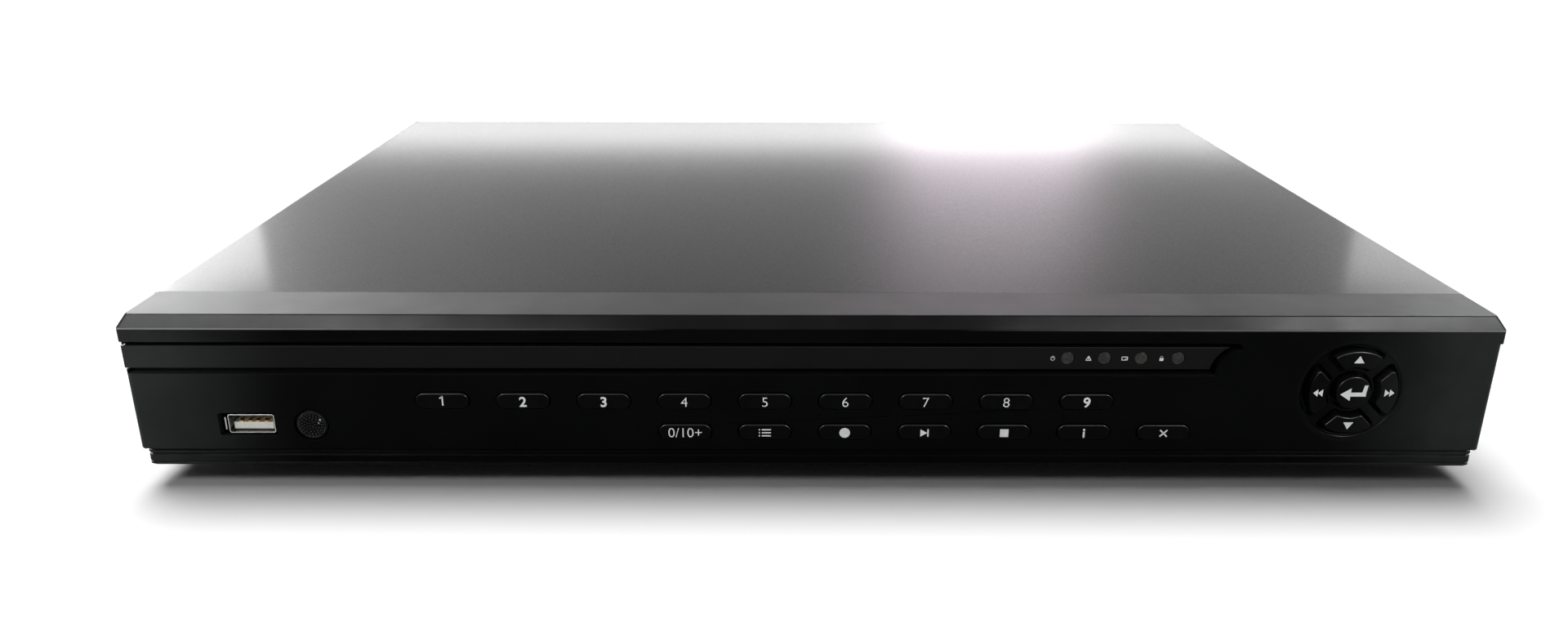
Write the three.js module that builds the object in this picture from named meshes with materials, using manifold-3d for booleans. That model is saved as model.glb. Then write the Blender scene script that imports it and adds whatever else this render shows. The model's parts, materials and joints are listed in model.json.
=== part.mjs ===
// Hybrid digital video recorder: a low steel case behind a moulded front with keys,
// a direction pad, an indicator strip, a USB socket and a remote-control window.
// Millimetres. X runs to the right of someone facing the front, Y to the back, Z up.
// The model is drawn with the front face at y = 0 and the feet standing on z = 0,
// and the whole group is then moved so that the middle of its footprint is the origin.

import * as THREE from 'three';
import { mergeVertices } from 'three/addons/utils/BufferGeometryUtils.js';
import Module from 'manifold-3d';

const wasm = await Module();
wasm.setup();

// Driving dimensions of the whole recorder
const bodyWidth = 380;
const bodyHeight = 52;
const bodyDepth = 280;
const footHeight = 6.5;
const sheet = 1.0;
const fitGap = 0.3;
const seamGap = 0.4;
const overrun = 1.0;
const keyTravel = 0.6;

// Front moulding: depth, walls and the steps of its face from the top down
const bezelDepth = 20.8;
const bezelWall = 2.4;
const chamferDepth = 2.0;
const chamferHeight = 3.5;
const browHeight = 4.0;
const recessShare = 0.291;
const recessDepth = 3.2;
const recessWall = 2.0;
const plinthHeight = 5.7;
const plinthSetback = 1.0;
const plinthInset = 1.5;
const plinthEdge = 0.5;
const browCorner = 1.0;
const panelCorner = 2.5;
const shadowLineHeight = 1.1;
const shadowLineDepth = 0.6;
const upperGrooveDrop = 1.7;
const upperGrooveHeight = 0.7;
const upperGrooveDepth = 0.6;
const lowerGrooveRise = 0.8;
const lowerGrooveHeight = 0.5;
const lowerGrooveDepth = 0.4;

// Heights of the face, worked out from the dimensions above
const chamferEdge = bodyHeight - chamferHeight;
const browBottom = chamferEdge - browHeight;
const panelBottom = footHeight + plinthHeight;
const recessHeight = (browBottom - panelBottom) * recessShare;
const ledge = browBottom - recessHeight;
const panelHeight = ledge - panelBottom;
const halfWidth = bodyWidth / 2;
const innerBezel = halfWidth - bezelWall;

// Keys: two rows of flat oval keys and a ring of direction keys with a round one inside
const keyWidth = 14.75;
const keyHeight = 4.66;
const keyProud = 0.6;
const keyRim = 0.6;
const keyRimThickness = 1.0;
const keyColumns = 10;
const firstKeyInset = 87.15;
const keyToPad = 51.28;
const padInset = 39.7;
const stemRadius = 1.5;
const stemEntry = 1.1;
const keyRowShares = [0.655, 0.2445];

const padDishRadius = 15.5;
const padFloorRadius = 13.8;
const padDishDepth = 0.9;
const padBossRadius = 16.6;
const padProud = 1.1;
const padGap = 1.1;
const arcOuter = 12.3;
const arcInner = 7.6;
const arcRimInset = 1.4;
const spokeWidth = 2.6;
const enterRadius = 4.8;

const padX = halfWidth - padInset;
const padZ = (panelBottom + chamferEdge) / 2;
const firstKeyX = -halfWidth + firstKeyInset;
const keyPitch = (padX - keyToPad - firstKeyX) / (keyColumns - 1);
const padWallBack = padDishDepth + bezelWall;

// Indicator strip in the recess, its scooped right end and the four lights
const stripGapBelow = 1.3;
const stripGapAbove = 1.5;
const stripThickness = 2.1;
const stripGap = 1.2;
const scoopInset = 71;
const scoopShare = 0.8086;
const recessCornerShare = 0.1702;
const lightShare = 0.2841;
const lightPitch = 10.2;
const lightCount = 4;
const lightInset = 17.9;
const guideBarHeight = 4;
const guideBarThickness = 2;
const guideGap = 0.8;

const scoopX = halfWidth - scoopInset;
const scoopRadius = recessHeight * scoopShare;
const recessCorner = recessHeight * recessCornerShare;
const stripBottom = ledge + stripGapBelow;
const stripTop = browBottom - stripGapAbove;
const stripFront = recessDepth - stripThickness;
const recessBack = recessDepth + recessWall;
const lightZ = (stripBottom + stripTop) / 2;
const lightRadius = (stripTop - stripBottom) * lightShare;

// USB socket and remote-control window at the left of the face
const socketZShare = 0.323;
const usbInset = 32.6;
const usbWidth = 13.1;
const usbHeight = 5.7;
const usbShell = 0.35;
const usbDeep = 0.8;
const usbSideGap = 1.0;
const usbTopGap = 0.6;
const tongueWidth = 11.1;
const tongueThickness = 1.9;
const tongueRise = 0.7;
const tongueSetback = 1.2;
const usbBase = 2.4;
const windowInset = 49.7;
const windowRadius = 4.57;
const windowRim = 1.0;
const windowRimThickness = 1.0;
const windowDeep = 0.2;

const socketZ = panelBottom + panelHeight * socketZShare;
const usbX = -halfWidth + usbInset;
const windowX = -halfWidth + windowInset;

// Front circuit board behind the keys
const frontBoardY = 14.6;
const boardThickness = 1.6;
const boardMargin = 2.0;
const switchSize = 6.0;
const switchDepth = 3.5;
const switchBoreEnd = 1.0;
const switchBoreDepth = stemEntry + keyTravel + switchBoreEnd;
const bossRadius = 3.0;
const bossInset = 10;
const bossDrop = 3.6;
const receiverWidth = 5.6;
const receiverHeight = 7.0;
const receiverDepth = 6.0;
const diodeRadius = 1.5;
const diodeDepth = 1.6;
const ribbonWidth = 18;
const ribbonThickness = 1.0;
const plugDepth = 3.2;
const plugHeight = 5.0;
const plugMargin = 2.0;
const ribbonInset = 66;

// Case: pan, cover, feet
const coverTopDrop = 0.4;
const coverSideInset = 0.4;
const coverBottomRise = 0.5;
const coverEdge = 0.8;
const lipHeight = 5.5;
const panFlange = 8.5;
const clipWidth = 12;
const clipThickness = 1.8;
const clipReach = 1.5;
const clipHook = 0.8;
const clipRoot = 3.8;
const clipDrop = 2.2;
const clipShares = [-0.64, 0, 0.64];
const footRadius = 9;
const footTaper = 1.0;
const footInsetX = 28;
const footInsetY = 34;
const footRecess = 3.0;
const footRecessDepth = 2.5;
const sideSlotWidth = 3;
const sideSlotHeight = 20;
const sideSlotPitch = 7;
const sideSlotCount = 14;
const sideSlotStart = 66;
const sideSlotTopDrop = 12;

const coverTop = bodyHeight - coverTopDrop;
const coverHalf = halfWidth - coverSideInset;
const panHalf = coverHalf - sheet - fitGap;
const panFront = bezelDepth + seamGap;
const innerFront = panFront + sheet;
const innerFloor = footHeight + sheet;
const innerTop = coverTop - sheet;
const innerHeight = innerTop - innerFloor;
const lipFront = bodyDepth - sheet;
const rearFace = lipFront - fitGap;
const rearInner = rearFace - sheet;
const wallTop = innerTop - fitGap;
const innerHalf = panHalf - sheet;

// Hard drives on their raised pads
const driveWidth = 101.6;
const driveLength = 147;
const driveHeight = 26.1;
const driveStand = 4;
const driveSideGap = 12;
const driveFrontGap = 14;
const driveBetween = 14;
const padSize = 10;
const driveLid = 1.2;
const driveLidInset = 2.5;
const driveHubRadius = 14;
const driveHubRise = 0.6;
const driveNotch = 5;
const driveBoardDeep = 1.4;

const driveZ = innerFloor + driveStand;
const driveFront = innerFront + driveFrontGap;
const driveRear = driveFront + driveLength;
const driveX = [-innerHalf + driveSideGap + driveWidth / 2];
driveX.push(driveX[0] + driveWidth + driveBetween);

// Fan at the left of the rear wall
const fanClear = 1.55;
const fanDepth = 10;
const fanSideGap = 10;
const fanRim = 1.3;
const fanHubRadius = 9.2;
const fanHubDepth = 6.4;
const fanHubWall = 1.4;
const fanTipGap = 0.7;
const fanBlades = 7;
const fanBladeThickness = 1.1;
const fanBladeChord = 8.4;
const fanBladeDepth = 5.6;
const fanStrut = 2.2;
const fanStrutDepth = 1.6;
const fanTubeRadius = 2.6;
const fanTubeDepth = 4.4;
const fanShaftRadius = 1.1;
const fanHoleRadius = 1.6;
const fanHoleInset = 4.0;
const guardBar = 2.0;
const ventWidth = 3;
const ventHeight = 8;
const ventPitch = 8;
const ventCount = 16;
const ventZShare = 0.76;

const fanSize = innerHeight - 2 * fanClear;
const fanX = -innerHalf + fanSideGap + fanSize / 2;
const fanZ = innerFloor + innerHeight / 2;
const fanBore = fanSize / 2 - fanRim;
const fanFront = rearInner - fanDepth;

// Mainboard, its standoffs and the parts on it
const boardStand = 6;
const boardToDrive = 10;
const boardSideGap = 6;
const boardFrontGap = 34;
const boardRearGap = 0.8;
const standRadius = 3.0;
const standInset = 6;
const heatsinkSize = 42;
const heatsinkBase = 3;
const heatsinkFin = 1.4;
const heatsinkFins = 8;
const heatsinkHeight = 15;

const boardZ = innerFloor + boardStand;
const boardTop = boardZ + boardThickness;
const boardRear = rearInner - boardRearGap;
const boardMiddle = driveRear + boardToDrive;
const boardRight = innerHalf - boardSideGap;
const boardLeft = fanX + fanSize / 2 + boardSideGap;
const boardWingLeft = driveX[1] + driveWidth / 2 + boardToDrive;
const boardFront = innerFront + boardFrontGap;

// Sockets along the rear wall, from the fan to the right
const bncPitch = 16;
const bncColumns = 4;
const bncRadius = 4.8;
const bncReach = 9.5;
const bncWall = 0.7;
const bncCore = 2.4;
const bncLug = 0.9;
const bncLugRise = 1.0;
const bncLugDrop = 2.4;
const bncDepth = 16;
const bncRowShares = [0.33, 0.71];
const audioPitch = 13;
const audioColumns = 2;
const audioRadius = 4.15;
const audioReach = 8.5;
const audioBore = 1.7;
const audioDepth = 13;
const audioRowShares = [0.36, 0.72];
const vgaWidth = 31;
const vgaHeight = 12.5;
const vgaPlate = 1.0;
const vgaFaceWidth = 16.6;
const vgaFaceHeight = 8.0;
const vgaReach = 5.2;
const vgaNutRadius = 2.5;
const vgaNutReach = 4.6;
const vgaSlant = 1.2;
const vgaDepth = 13;
const hdmiWidth = 15;
const hdmiHeight = 5.6;
const hdmiDepth = 12;
const hdmiShell = 0.5;
const hdmiTongue = 1.2;
const hdmiTongueWidth = 11;
const lanWidth = 16;
const lanHeight = 13.4;
const lanDepth = 18;
const lanMouthWidth = 11.8;
const lanMouthHeight = 8.2;
const lanMouthRise = 2.6;
const lanMouthDepth = 13;
const lanKeyWidth = 6.0;
const lanKeyHeight = 1.6;
const portReach = 0.6;
const terminalPitch = 3.5;
const terminalWays = 8;
const terminalHeight = 9.5;
const terminalDepth = 12;
const terminalReach = 3.2;
const terminalHole = 2.4;
const terminalHoleRise = 1.6;
const terminalEnd = 0.8;
const terminalScrew = 1.1;
const jackWidth = 9.4;
const jackHeight = 11.2;
const jackDepth = 14;
const jackBore = 3.2;
const jackBoreDepth = 9.5;
const jackPin = 1.0;
const jackReach = 1.2;
const rockerWidth = 8.0;
const rockerHalf = 5.6;
const rockerTilt = 12;
const rockerRise = 2.2;
const rockerKeel = 3.4;
const rockerKeelHalf = 2.6;
const rockerPin = 1.0;
const rockerPinReach = 1.0;
const rockerProud = 0.4;
const switchWall = 1.6;
const switchFlange = 1.6;
const switchFlangeThickness = 1.4;
const switchPocket = 8.5;
const switchZShare = 0.5;
const groundWidth = 9;
const groundHead = 3.2;
const groundHeadThickness = 2.0;
const groundShank = 1.5;
const groundLength = 6;
const groundZShare = 0.5;
const coverScrewHead = 2.6;
const coverScrewHeadThickness = 1.6;
const coverScrewShank = 1.4;
const coverScrewLength = 5;
const coverScrewInset = 5.5;

// Round shapes: number of sides by size
const smallSides = 8;
const midSides = 12;
const largeSides = 24;
const endSteps = 5;
const hexSides = 6;

// Finishes of the materials
const colours = {
  moulding: 0x1b1d20,
  key: 0x24262a,
  strip: 0x2c2f33,
  steel: 0x77787a,
  coated: 0x56585b,
  bright: 0xb9bcc0,
  board: 0x1d5a38,
  rubber: 0x3a3b3d,
  lens: 0x30363a,
  clear: 0xc9d2d6,
  white: 0xe4e4e0,
  plastic: 0x151618,
  alloy: 0x8d9094,
  cable: 0x9a9a96,
};

// Makes a closed solid from a three.js geometry
function solid(geometry) {
  geometry.deleteAttribute('normal');
  geometry.deleteAttribute('uv');
  const merged = mergeVertices(geometry);
  const vertProperties = Float32Array.from(merged.attributes.position.array);
  const triVerts = Uint32Array.from(merged.index.array);
  return new wasm.Manifold(new wasm.Mesh({ numProp: 3, vertProperties, triVerts }));
}

function join(first, ...rest) {
  return rest.flat().reduce((sum, next) => sum.add(next), first);
}

function cut(body, ...tools) {
  return tools.flat().reduce((left, tool) => left.subtract(tool), body);
}

// Makes a block from its limits on each axis
function block(xs, ys, zs) {
  const geometry = new THREE.BoxGeometry(xs[1] - xs[0], ys[1] - ys[0], zs[1] - zs[0]);
  geometry.translate((xs[0] + xs[1]) / 2, (ys[0] + ys[1]) / 2, (zs[0] + zs[1]) / 2);
  return solid(geometry);
}

// Returns the limits of a span given its middle and its whole width
function span(middle, width) {
  return [middle - width / 2, middle + width / 2];
}

// Turns shapes drawn in the plane so that they are drawn out along the named axis
const bases = {
  x: new THREE.Matrix4().set(0, 0, 1, 0, 1, 0, 0, 0, 0, 1, 0, 0, 0, 0, 0, 1),
  y: new THREE.Matrix4().set(1, 0, 0, 0, 0, 0, -1, 0, 0, 1, 0, 0, 0, 0, 0, 1),
  z: new THREE.Matrix4(),
};

// Draws an outline out along an axis, from one place on it to another
function prism(axis, points, from, to) {
  const shape = new THREE.Shape(points.map(([u, v]) => new THREE.Vector2(u, v)));
  const geometry = new THREE.ExtrudeGeometry(shape, { depth: to - from, bevelEnabled: false });
  geometry.applyMatrix4(bases[axis]);
  const start = { x: [from, 0, 0], y: [0, to, 0], z: [0, 0, from] }[axis];
  geometry.translate(...start);
  return solid(geometry);
}

// Makes a round bar or cone along an axis; the centre is given on the other two axes
function rod(axis, centre, limits, radius, sides, endRadius = radius) {
  const length = limits[1] - limits[0];
  const geometry = new THREE.CylinderGeometry(endRadius, radius, length, sides);
  geometry.translate(0, (limits[0] + limits[1]) / 2, 0);
  if (axis === 'x') {
    geometry.rotateZ(-Math.PI / 2);
    geometry.translate(0, centre[0], centre[1]);
  } else if (axis === 'y') {
    geometry.translate(centre[0], 0, centre[1]);
  } else {
    geometry.rotateX(Math.PI / 2);
    geometry.translate(centre[0], centre[1], 0);
  }
  return solid(geometry);
}

const degrees = (angle) => (angle * Math.PI) / 180;

function arcPoints(centre, radius, from, to, steps = endSteps) {
  const points = [];
  for (let i = 0; i <= steps; i += 1) {
    const angle = degrees(from + ((to - from) * i) / steps);
    points.push([centre[0] + radius * Math.cos(angle), centre[1] + radius * Math.sin(angle)]);
  }
  return points;
}

// Outline with two straight sides and half-round ends
function pillPoints(x, z, width, height) {
  const radius = height / 2;
  const straight = width / 2 - radius;
  return [
    ...arcPoints([x + straight, z], radius, -90, 90),
    ...arcPoints([x - straight, z], radius, 90, 270),
  ];
}

// Outline of one direction key: a piece of a ring between two spokes
function sectorPoints(turn, inner, outer, offset) {
  const outerHalf = 45 - (Math.asin(offset / outer) * 180) / Math.PI;
  const innerHalf = 45 - (Math.asin(offset / inner) * 180) / Math.PI;
  return [
    ...arcPoints([padX, padZ], outer, turn - outerHalf, turn + outerHalf),
    ...arcPoints([padX, padZ], inner, turn + innerHalf, turn - innerHalf),
  ];
}

// Plan of the moulding with its two front corners rounded
function planPoints(half, front, corner) {
  return [
    [half, bezelDepth + overrun],
    [-half, bezelDepth + overrun],
    ...arcPoints([-half + corner, front + corner], corner, 180, 270),
    ...arcPoints([half - corner, front + corner], corner, 270, 360),
  ];
}

// Cable of even thickness along a line of points in the Y-Z plane
function bandPoints(places, thickness, steps = 3 * endSteps) {
  const line = new THREE.SplineCurve(places.map(([y, z]) => new THREE.Vector2(y, z)));
  const upper = [];
  const lower = [];
  for (let i = 0; i <= steps; i += 1) {
    const point = line.getPoint(i / steps);
    const along = line.getTangent(i / steps);
    const side = new THREE.Vector2(-along.y, along.x).multiplyScalar(thickness / 2);
    upper.push([point.x + side.x, point.y + side.y]);
    lower.push([point.x - side.x, point.y - side.y]);
  }
  return [...lower, ...upper.reverse()];
}

const recorder = new THREE.Group();

// Adds one named sub-part with its own material
function piece(name, body, colour, roughness, metalness) {
  const made = body.getMesh();
  const geometry = new THREE.BufferGeometry();
  geometry.setAttribute('position', new THREE.BufferAttribute(made.vertProperties, 3));
  geometry.setIndex(new THREE.BufferAttribute(made.triVerts, 1));
  geometry.computeVertexNormals();
  const material = new THREE.MeshStandardMaterial({ color: colour, roughness, metalness });
  const mesh = new THREE.Mesh(geometry, material);
  mesh.name = name;
  recorder.add(mesh);
}

// Keys of the two rows, by row and column
const rowKeys = [
  ['key_1', 0, 0], ['key_2', 0, 1], ['key_3', 0, 2], ['key_4', 0, 3], ['key_5', 0, 4],
  ['key_6', 0, 5], ['key_7', 0, 6], ['key_8', 0, 7], ['key_9', 0, 8], ['key_0', 1, 3],
  ['menu_key', 1, 4], ['record_key', 1, 5], ['play_key', 1, 6], ['stop_key', 1, 7],
  ['info_key', 1, 8], ['escape_key', 1, 9],
].map(([name, row, column]) => ({
  name,
  x: firstKeyX + keyPitch * column,
  z: panelBottom + panelHeight * keyRowShares[row],
}));

// Direction keys, by the way that they point
const arcMiddle = (arcInner + arcOuter) / 2;
const padKeys = [
  ['right_key', 0], ['up_key', 90], ['left_key', 180], ['down_key', 270],
].map(([name, turn]) => ({
  name,
  turn,
  x: padX + arcMiddle * Math.cos(degrees(turn)),
  z: padZ + arcMiddle * Math.sin(degrees(turn)),
}));

const keyCentres = [...rowKeys, ...padKeys, { name: 'enter_key', x: padX, z: padZ }];
const switchFront = frontBoardY - switchDepth;
const stemEnd = switchFront + stemEntry;

// Front moulding
const lightXs = [];
for (let i = 0; i < lightCount; i += 1) {
  lightXs.push(scoopX - lightInset - lightPitch * (lightCount - 1 - i));
}

const clips = clipShares.map((share) => share * innerHalf);
const clipBack = innerFront + fitGap + clipReach;
const topClipZ = bodyHeight - bezelWall - clipDrop - clipThickness;
const bottomClipZ = footHeight + bezelWall;

// Outline of the recess: a long band whose right end is scooped by a quarter round
function recessPoints() {
  const cornerX = scoopX - recessCorner - recessCorner / 2;
  const bulgeEnd = (Math.acos((cornerX + recessCorner - scoopX) / scoopRadius) * 180) / Math.PI;
  return [
    [-halfWidth - overrun, ledge],
    ...arcPoints([scoopX, ledge], scoopRadius, 180, bulgeEnd),
    ...arcPoints([cornerX, browBottom - recessCorner], recessCorner, 0, 90),
    [-halfWidth - overrun, browBottom],
  ];
}

const bossPlaces = [
  [-halfWidth + bossInset, browBottom - bossDrop],
  [(firstKeyX + padX) / 2 - keyPitch, browBottom - bossDrop],
  [halfWidth - bossInset, browBottom - bossDrop],
  [-halfWidth + bossInset, footHeight + bezelWall + bossDrop],
  [firstKeyX + keyPitch, footHeight + bezelWall + bossDrop],
  [(firstKeyX + keyPitch * (keyColumns - 1) + padX) / 2, footHeight + bezelWall + bossDrop],
  [halfWidth - bossInset, footHeight + bezelWall + bossDrop],
];

function makeBezel() {
  const plinth = plinthSetback;
  const upperTop = panelBottom - upperGrooveDrop;
  const lowerBottom = footHeight + lowerGrooveRise;
  const profile = [
    [bezelDepth, footHeight],
    [bezelDepth, bodyHeight],
    [chamferDepth, bodyHeight],
    [0, chamferEdge],
    [0, panelBottom],
    [plinth + shadowLineDepth, panelBottom],
    [plinth + shadowLineDepth, panelBottom - shadowLineHeight],
    [plinth, panelBottom - shadowLineHeight],
    [plinth, upperTop],
    [plinth + upperGrooveDepth, upperTop],
    [plinth + upperGrooveDepth, upperTop - upperGrooveHeight],
    [plinth, upperTop - upperGrooveHeight],
    [plinth, lowerBottom + lowerGrooveHeight],
    [plinth + lowerGrooveDepth, lowerBottom + lowerGrooveHeight],
    [plinth + lowerGrooveDepth, lowerBottom],
    [plinth, lowerBottom],
    [plinth, footHeight + plinthEdge],
    [plinth + plinthEdge, footHeight],
  ];
  const outer = prism('x', profile, -halfWidth, halfWidth);
  const plinthHalf = halfWidth - plinthInset;
  const plan = join(
    prism('z', planPoints(plinthHalf, 0, panelCorner), footHeight - overrun, panelBottom),
    prism('z', planPoints(halfWidth, 0, panelCorner), panelBottom, browBottom),
    prism('z', planPoints(halfWidth, 0, browCorner), browBottom, bodyHeight + overrun),
  );
  const back = bezelDepth + overrun;
  const floor = footHeight + bezelWall;
  const roof = bodyHeight - bezelWall;
  const underRecess = ledge - recessWall;
  const besideRecess = scoopX + bezelWall;
  const hollow = join(
    block([-innerBezel, innerBezel], [bezelWall + plinth, back], [floor, panelBottom]),
    block([-innerBezel, innerBezel], [bezelWall, back], [panelBottom, underRecess]),
    block([besideRecess, innerBezel], [bezelWall, back], [underRecess, roof]),
    block([-innerBezel, besideRecess], [recessBack, back], [underRecess, roof]),
  );
  let body = cut(outer.intersect(plan), hollow);
  const dishSlope = (padDishRadius - padFloorRadius) / padDishDepth;
  const dishMouth = padDishRadius + dishSlope * overrun;
  const dish = rod('y', [padX, padZ], [-overrun, padDishDepth], dishMouth, largeSides, padFloorRadius);
  const bossSpan = [bezelWall - fitGap, padWallBack];
  body = join(body, rod('y', [padX, padZ], bossSpan, padBossRadius, largeSides));
  body = cut(body, dish, prism('y', recessPoints(), -overrun, recessDepth));
  for (const [x, z] of bossPlaces) {
    body = join(body, rod('y', [x, z], [bezelWall, frontBoardY], bossRadius, smallSides));
  }
  body = cut(body, prism('y', recessPoints(), -overrun, recessDepth));
  for (const x of clips) {
    const xs = span(x, clipWidth);
    const neck = [bezelDepth - clipRoot, clipBack];
    const top = [topClipZ, topClipZ + clipThickness];
    const bottom = [bottomClipZ, bottomClipZ + clipThickness];
    const tip = [clipBack - clipReach, clipBack];
    body = join(
      body,
      block(xs, neck, top),
      block(xs, [neck[0], bezelDepth], [topClipZ, roof + fitGap]),
      block(xs, tip, [top[0] - clipHook, top[0]]),
      block(xs, neck, bottom),
      block(xs, [neck[0], bezelDepth], [bottomClipZ - fitGap, bottom[1]]),
      block(xs, tip, [bottom[1], bottom[1] + clipHook]),
    );
  }
  return cut(body, makeApertures());
}

// Holes in the face for the keys, the lights, the USB socket and the window
function makeApertures() {
  const through = [-overrun, bezelWall + overrun];
  const tools = rowKeys.map(({ x, z }) => (
    prism('y', pillPoints(x, z, keyWidth + 2 * fitGap, keyHeight + 2 * fitGap), ...through)
  ));
  const padThrough = [-overrun, padWallBack + overrun];
  for (const { turn } of padKeys) {
    const outline = sectorPoints(turn, arcInner - padGap, arcOuter + padGap, spokeWidth / 2);
    tools.push(prism('y', outline, ...padThrough));
  }
  tools.push(rod('y', [padX, padZ], padThrough, enterRadius + padGap, midSides));
  for (const x of lightXs) {
    const limits = [0, recessBack + overrun];
    tools.push(rod('y', [x, lightZ], limits, lightRadius + fitGap, smallSides));
  }
  const usbXs = span(usbX, usbWidth + 2 * usbSideGap);
  tools.push(block(usbXs, through, span(socketZ, usbHeight + 2 * usbTopGap)));
  tools.push(rod('y', [windowX, socketZ], through, windowRadius + fitGap, midSides));
  return tools;
}
piece('front_bezel', makeBezel(), colours.moulding, 0.35, 0);

// Indicator strip on the floor of the recess, with the lights' holes
function makeStrip() {
  const radius = scoopRadius + stripGap;
  const low = 180 - (Math.asin((stripBottom - ledge) / radius) * 180) / Math.PI;
  const high = 180 - (Math.asin((stripTop - ledge) / radius) * 180) / Math.PI;
  const outline = [
    [-halfWidth - overrun, stripBottom],
    ...arcPoints([scoopX, ledge], radius, low, high),
    [-halfWidth - overrun, stripTop],
  ];
  const plan = prism('z', planPoints(halfWidth, 0, panelCorner), stripBottom, stripTop);
  const body = prism('y', outline, stripFront, recessDepth).intersect(plan);
  const limits = [stripFront - overrun, recessDepth + overrun];
  return cut(body, lightXs.map((x) => rod('y', [x, lightZ], limits, lightRadius + fitGap, smallSides)));
}
piece('indicator_strip', makeStrip(), colours.strip, 0.5, 0);

// Light guide: four round heads on one bar behind the recess
function makeLightGuide() {
  const barFront = recessBack + fitGap;
  const barXs = [lightXs[0] - lightPitch / 2, lightXs[lightCount - 1] + lightPitch / 2];
  const barYs = [barFront, barFront + guideBarThickness];
  const guideEnd = frontBoardY - diodeDepth - guideGap;
  const bar = block(barXs, barYs, span(lightZ, guideBarHeight));
  const heads = lightXs.map((x) => rod('y', [x, lightZ], [stripFront, guideEnd], lightRadius, smallSides));
  return join(bar, heads);
}
piece('led_light_guide', makeLightGuide(), colours.clear, 0.3, 0);

// Remote-control window with a rim behind the face
function makeWindow() {
  const rimFront = bezelWall + fitGap;
  const face = rod('y', [windowX, socketZ], [windowDeep, rimFront], windowRadius, midSides);
  const rimSpan = [rimFront, rimFront + windowRimThickness];
  const rim = rod('y', [windowX, socketZ], rimSpan, windowRadius + windowRim, midSides);
  return join(face, rim);
}
piece('remote_window', makeWindow(), colours.lens, 0.15, 0);

// Oval keys: cap through the face, rim behind it, stem into its switch
function makeRowKey({ x, z }) {
  const rimFront = bezelWall + fitGap;
  const rimBack = rimFront + keyRimThickness;
  const grow = 2 * (fitGap + keyRim);
  return join(
    prism('y', pillPoints(x, z, keyWidth, keyHeight), -keyProud, rimFront),
    prism('y', pillPoints(x, z, keyWidth + grow, keyHeight + grow), rimFront, rimBack),
    rod('y', [x, z], [rimBack, stemEnd], stemRadius, smallSides),
  );
}
for (const key of rowKeys) {
  piece(key.name, makeRowKey(key), colours.key, 0.4, 0);
}

// Direction keys and the round key inside their ring
function makePadKey({ turn, x, z }) {
  const rimFront = padWallBack + fitGap;
  const rimBack = rimFront + keyRimThickness;
  const cap = sectorPoints(turn, arcInner, arcOuter, spokeWidth / 2 + padGap);
  const rimInner = arcInner + arcRimInset;
  const rim = sectorPoints(turn, rimInner, arcOuter + padGap + keyRim, spokeWidth / 2 - keyRim);
  return join(
    prism('y', cap, -padProud, rimFront),
    prism('y', rim, rimFront, rimBack),
    rod('y', [x, z], [rimBack, stemEnd], stemRadius, smallSides),
  );
}
for (const key of padKeys) {
  piece(key.name, makePadKey(key), colours.key, 0.4, 0);
}

function makeEnterKey() {
  const rimFront = padWallBack + fitGap;
  const rimBack = rimFront + keyRimThickness;
  const rimRadius = enterRadius + padGap + keyRim;
  return join(
    rod('y', [padX, padZ], [-padProud, rimFront], enterRadius, midSides),
    rod('y', [padX, padZ], [rimFront, rimBack], rimRadius, midSides),
    rod('y', [padX, padZ], [rimBack, stemEnd], stemRadius, smallSides),
  );
}
piece('enter_key', makeEnterKey(), colours.key, 0.4, 0);

// Front circuit board with its push switches, diodes and remote-control receiver
const ribbonX = halfWidth - ribbonInset;
const ribbonZ = boardTop + plugHeight / 2;

function makeFrontBoard() {
  const half = innerBezel - boardMargin;
  const zs = [footHeight + bezelWall + boardMargin, bodyHeight - bezelWall - boardMargin];
  let body = block([-half, half], [frontBoardY, frontBoardY + boardThickness], zs);
  for (const { x, z } of keyCentres) {
    const can = block(span(x, switchSize), [switchFront, frontBoardY], span(z, switchSize));
    const bore = [switchFront - overrun, switchFront + switchBoreDepth];
    body = join(body, cut(can, rod('y', [x, z], bore, stemRadius + fitGap, smallSides)));
  }
  for (const x of lightXs) {
    const limits = [frontBoardY - diodeDepth, frontBoardY];
    body = join(body, rod('y', [x, lightZ], limits, diodeRadius, smallSides));
  }
  const receiverYs = [frontBoardY - receiverDepth, frontBoardY];
  const receiver = block(span(windowX, receiverWidth), receiverYs, span(socketZ, receiverHeight));
  const back = frontBoardY + boardThickness;
  const plugXs = span(ribbonX, ribbonWidth + 2 * plugMargin);
  const plug = block(plugXs, [back, back + plugDepth], span(ribbonZ, plugHeight));
  return join(body, receiver, plug);
}
piece('front_board', makeFrontBoard(), colours.board, 0.6, 0);

// Front USB socket: steel shell and the tongue inside it
function makeUsbShell() {
  const ys = [usbDeep, frontBoardY];
  const shell = block(span(usbX, usbWidth), ys, span(socketZ, usbHeight));
  const inner = block(
    span(usbX, usbWidth - 2 * usbShell),
    [usbDeep - overrun, frontBoardY + overrun],
    span(socketZ, usbHeight - 2 * usbShell),
  );
  return cut(shell, inner);
}
piece('front_usb_shell', makeUsbShell(), colours.bright, 0.25, 1);

function makeUsbTongue() {
  const innerZs = span(socketZ, usbHeight - 2 * usbShell);
  const base = block(span(usbX, usbWidth - 2 * usbShell), [frontBoardY - usbBase, frontBoardY], innerZs);
  const low = innerZs[0] + tongueRise;
  const ys = [usbDeep + tongueSetback, frontBoardY - usbBase];
  return join(base, block(span(usbX, tongueWidth), ys, [low, low + tongueThickness]));
}
piece('front_usb_tongue', makeUsbTongue(), colours.white, 0.5, 0);

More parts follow.
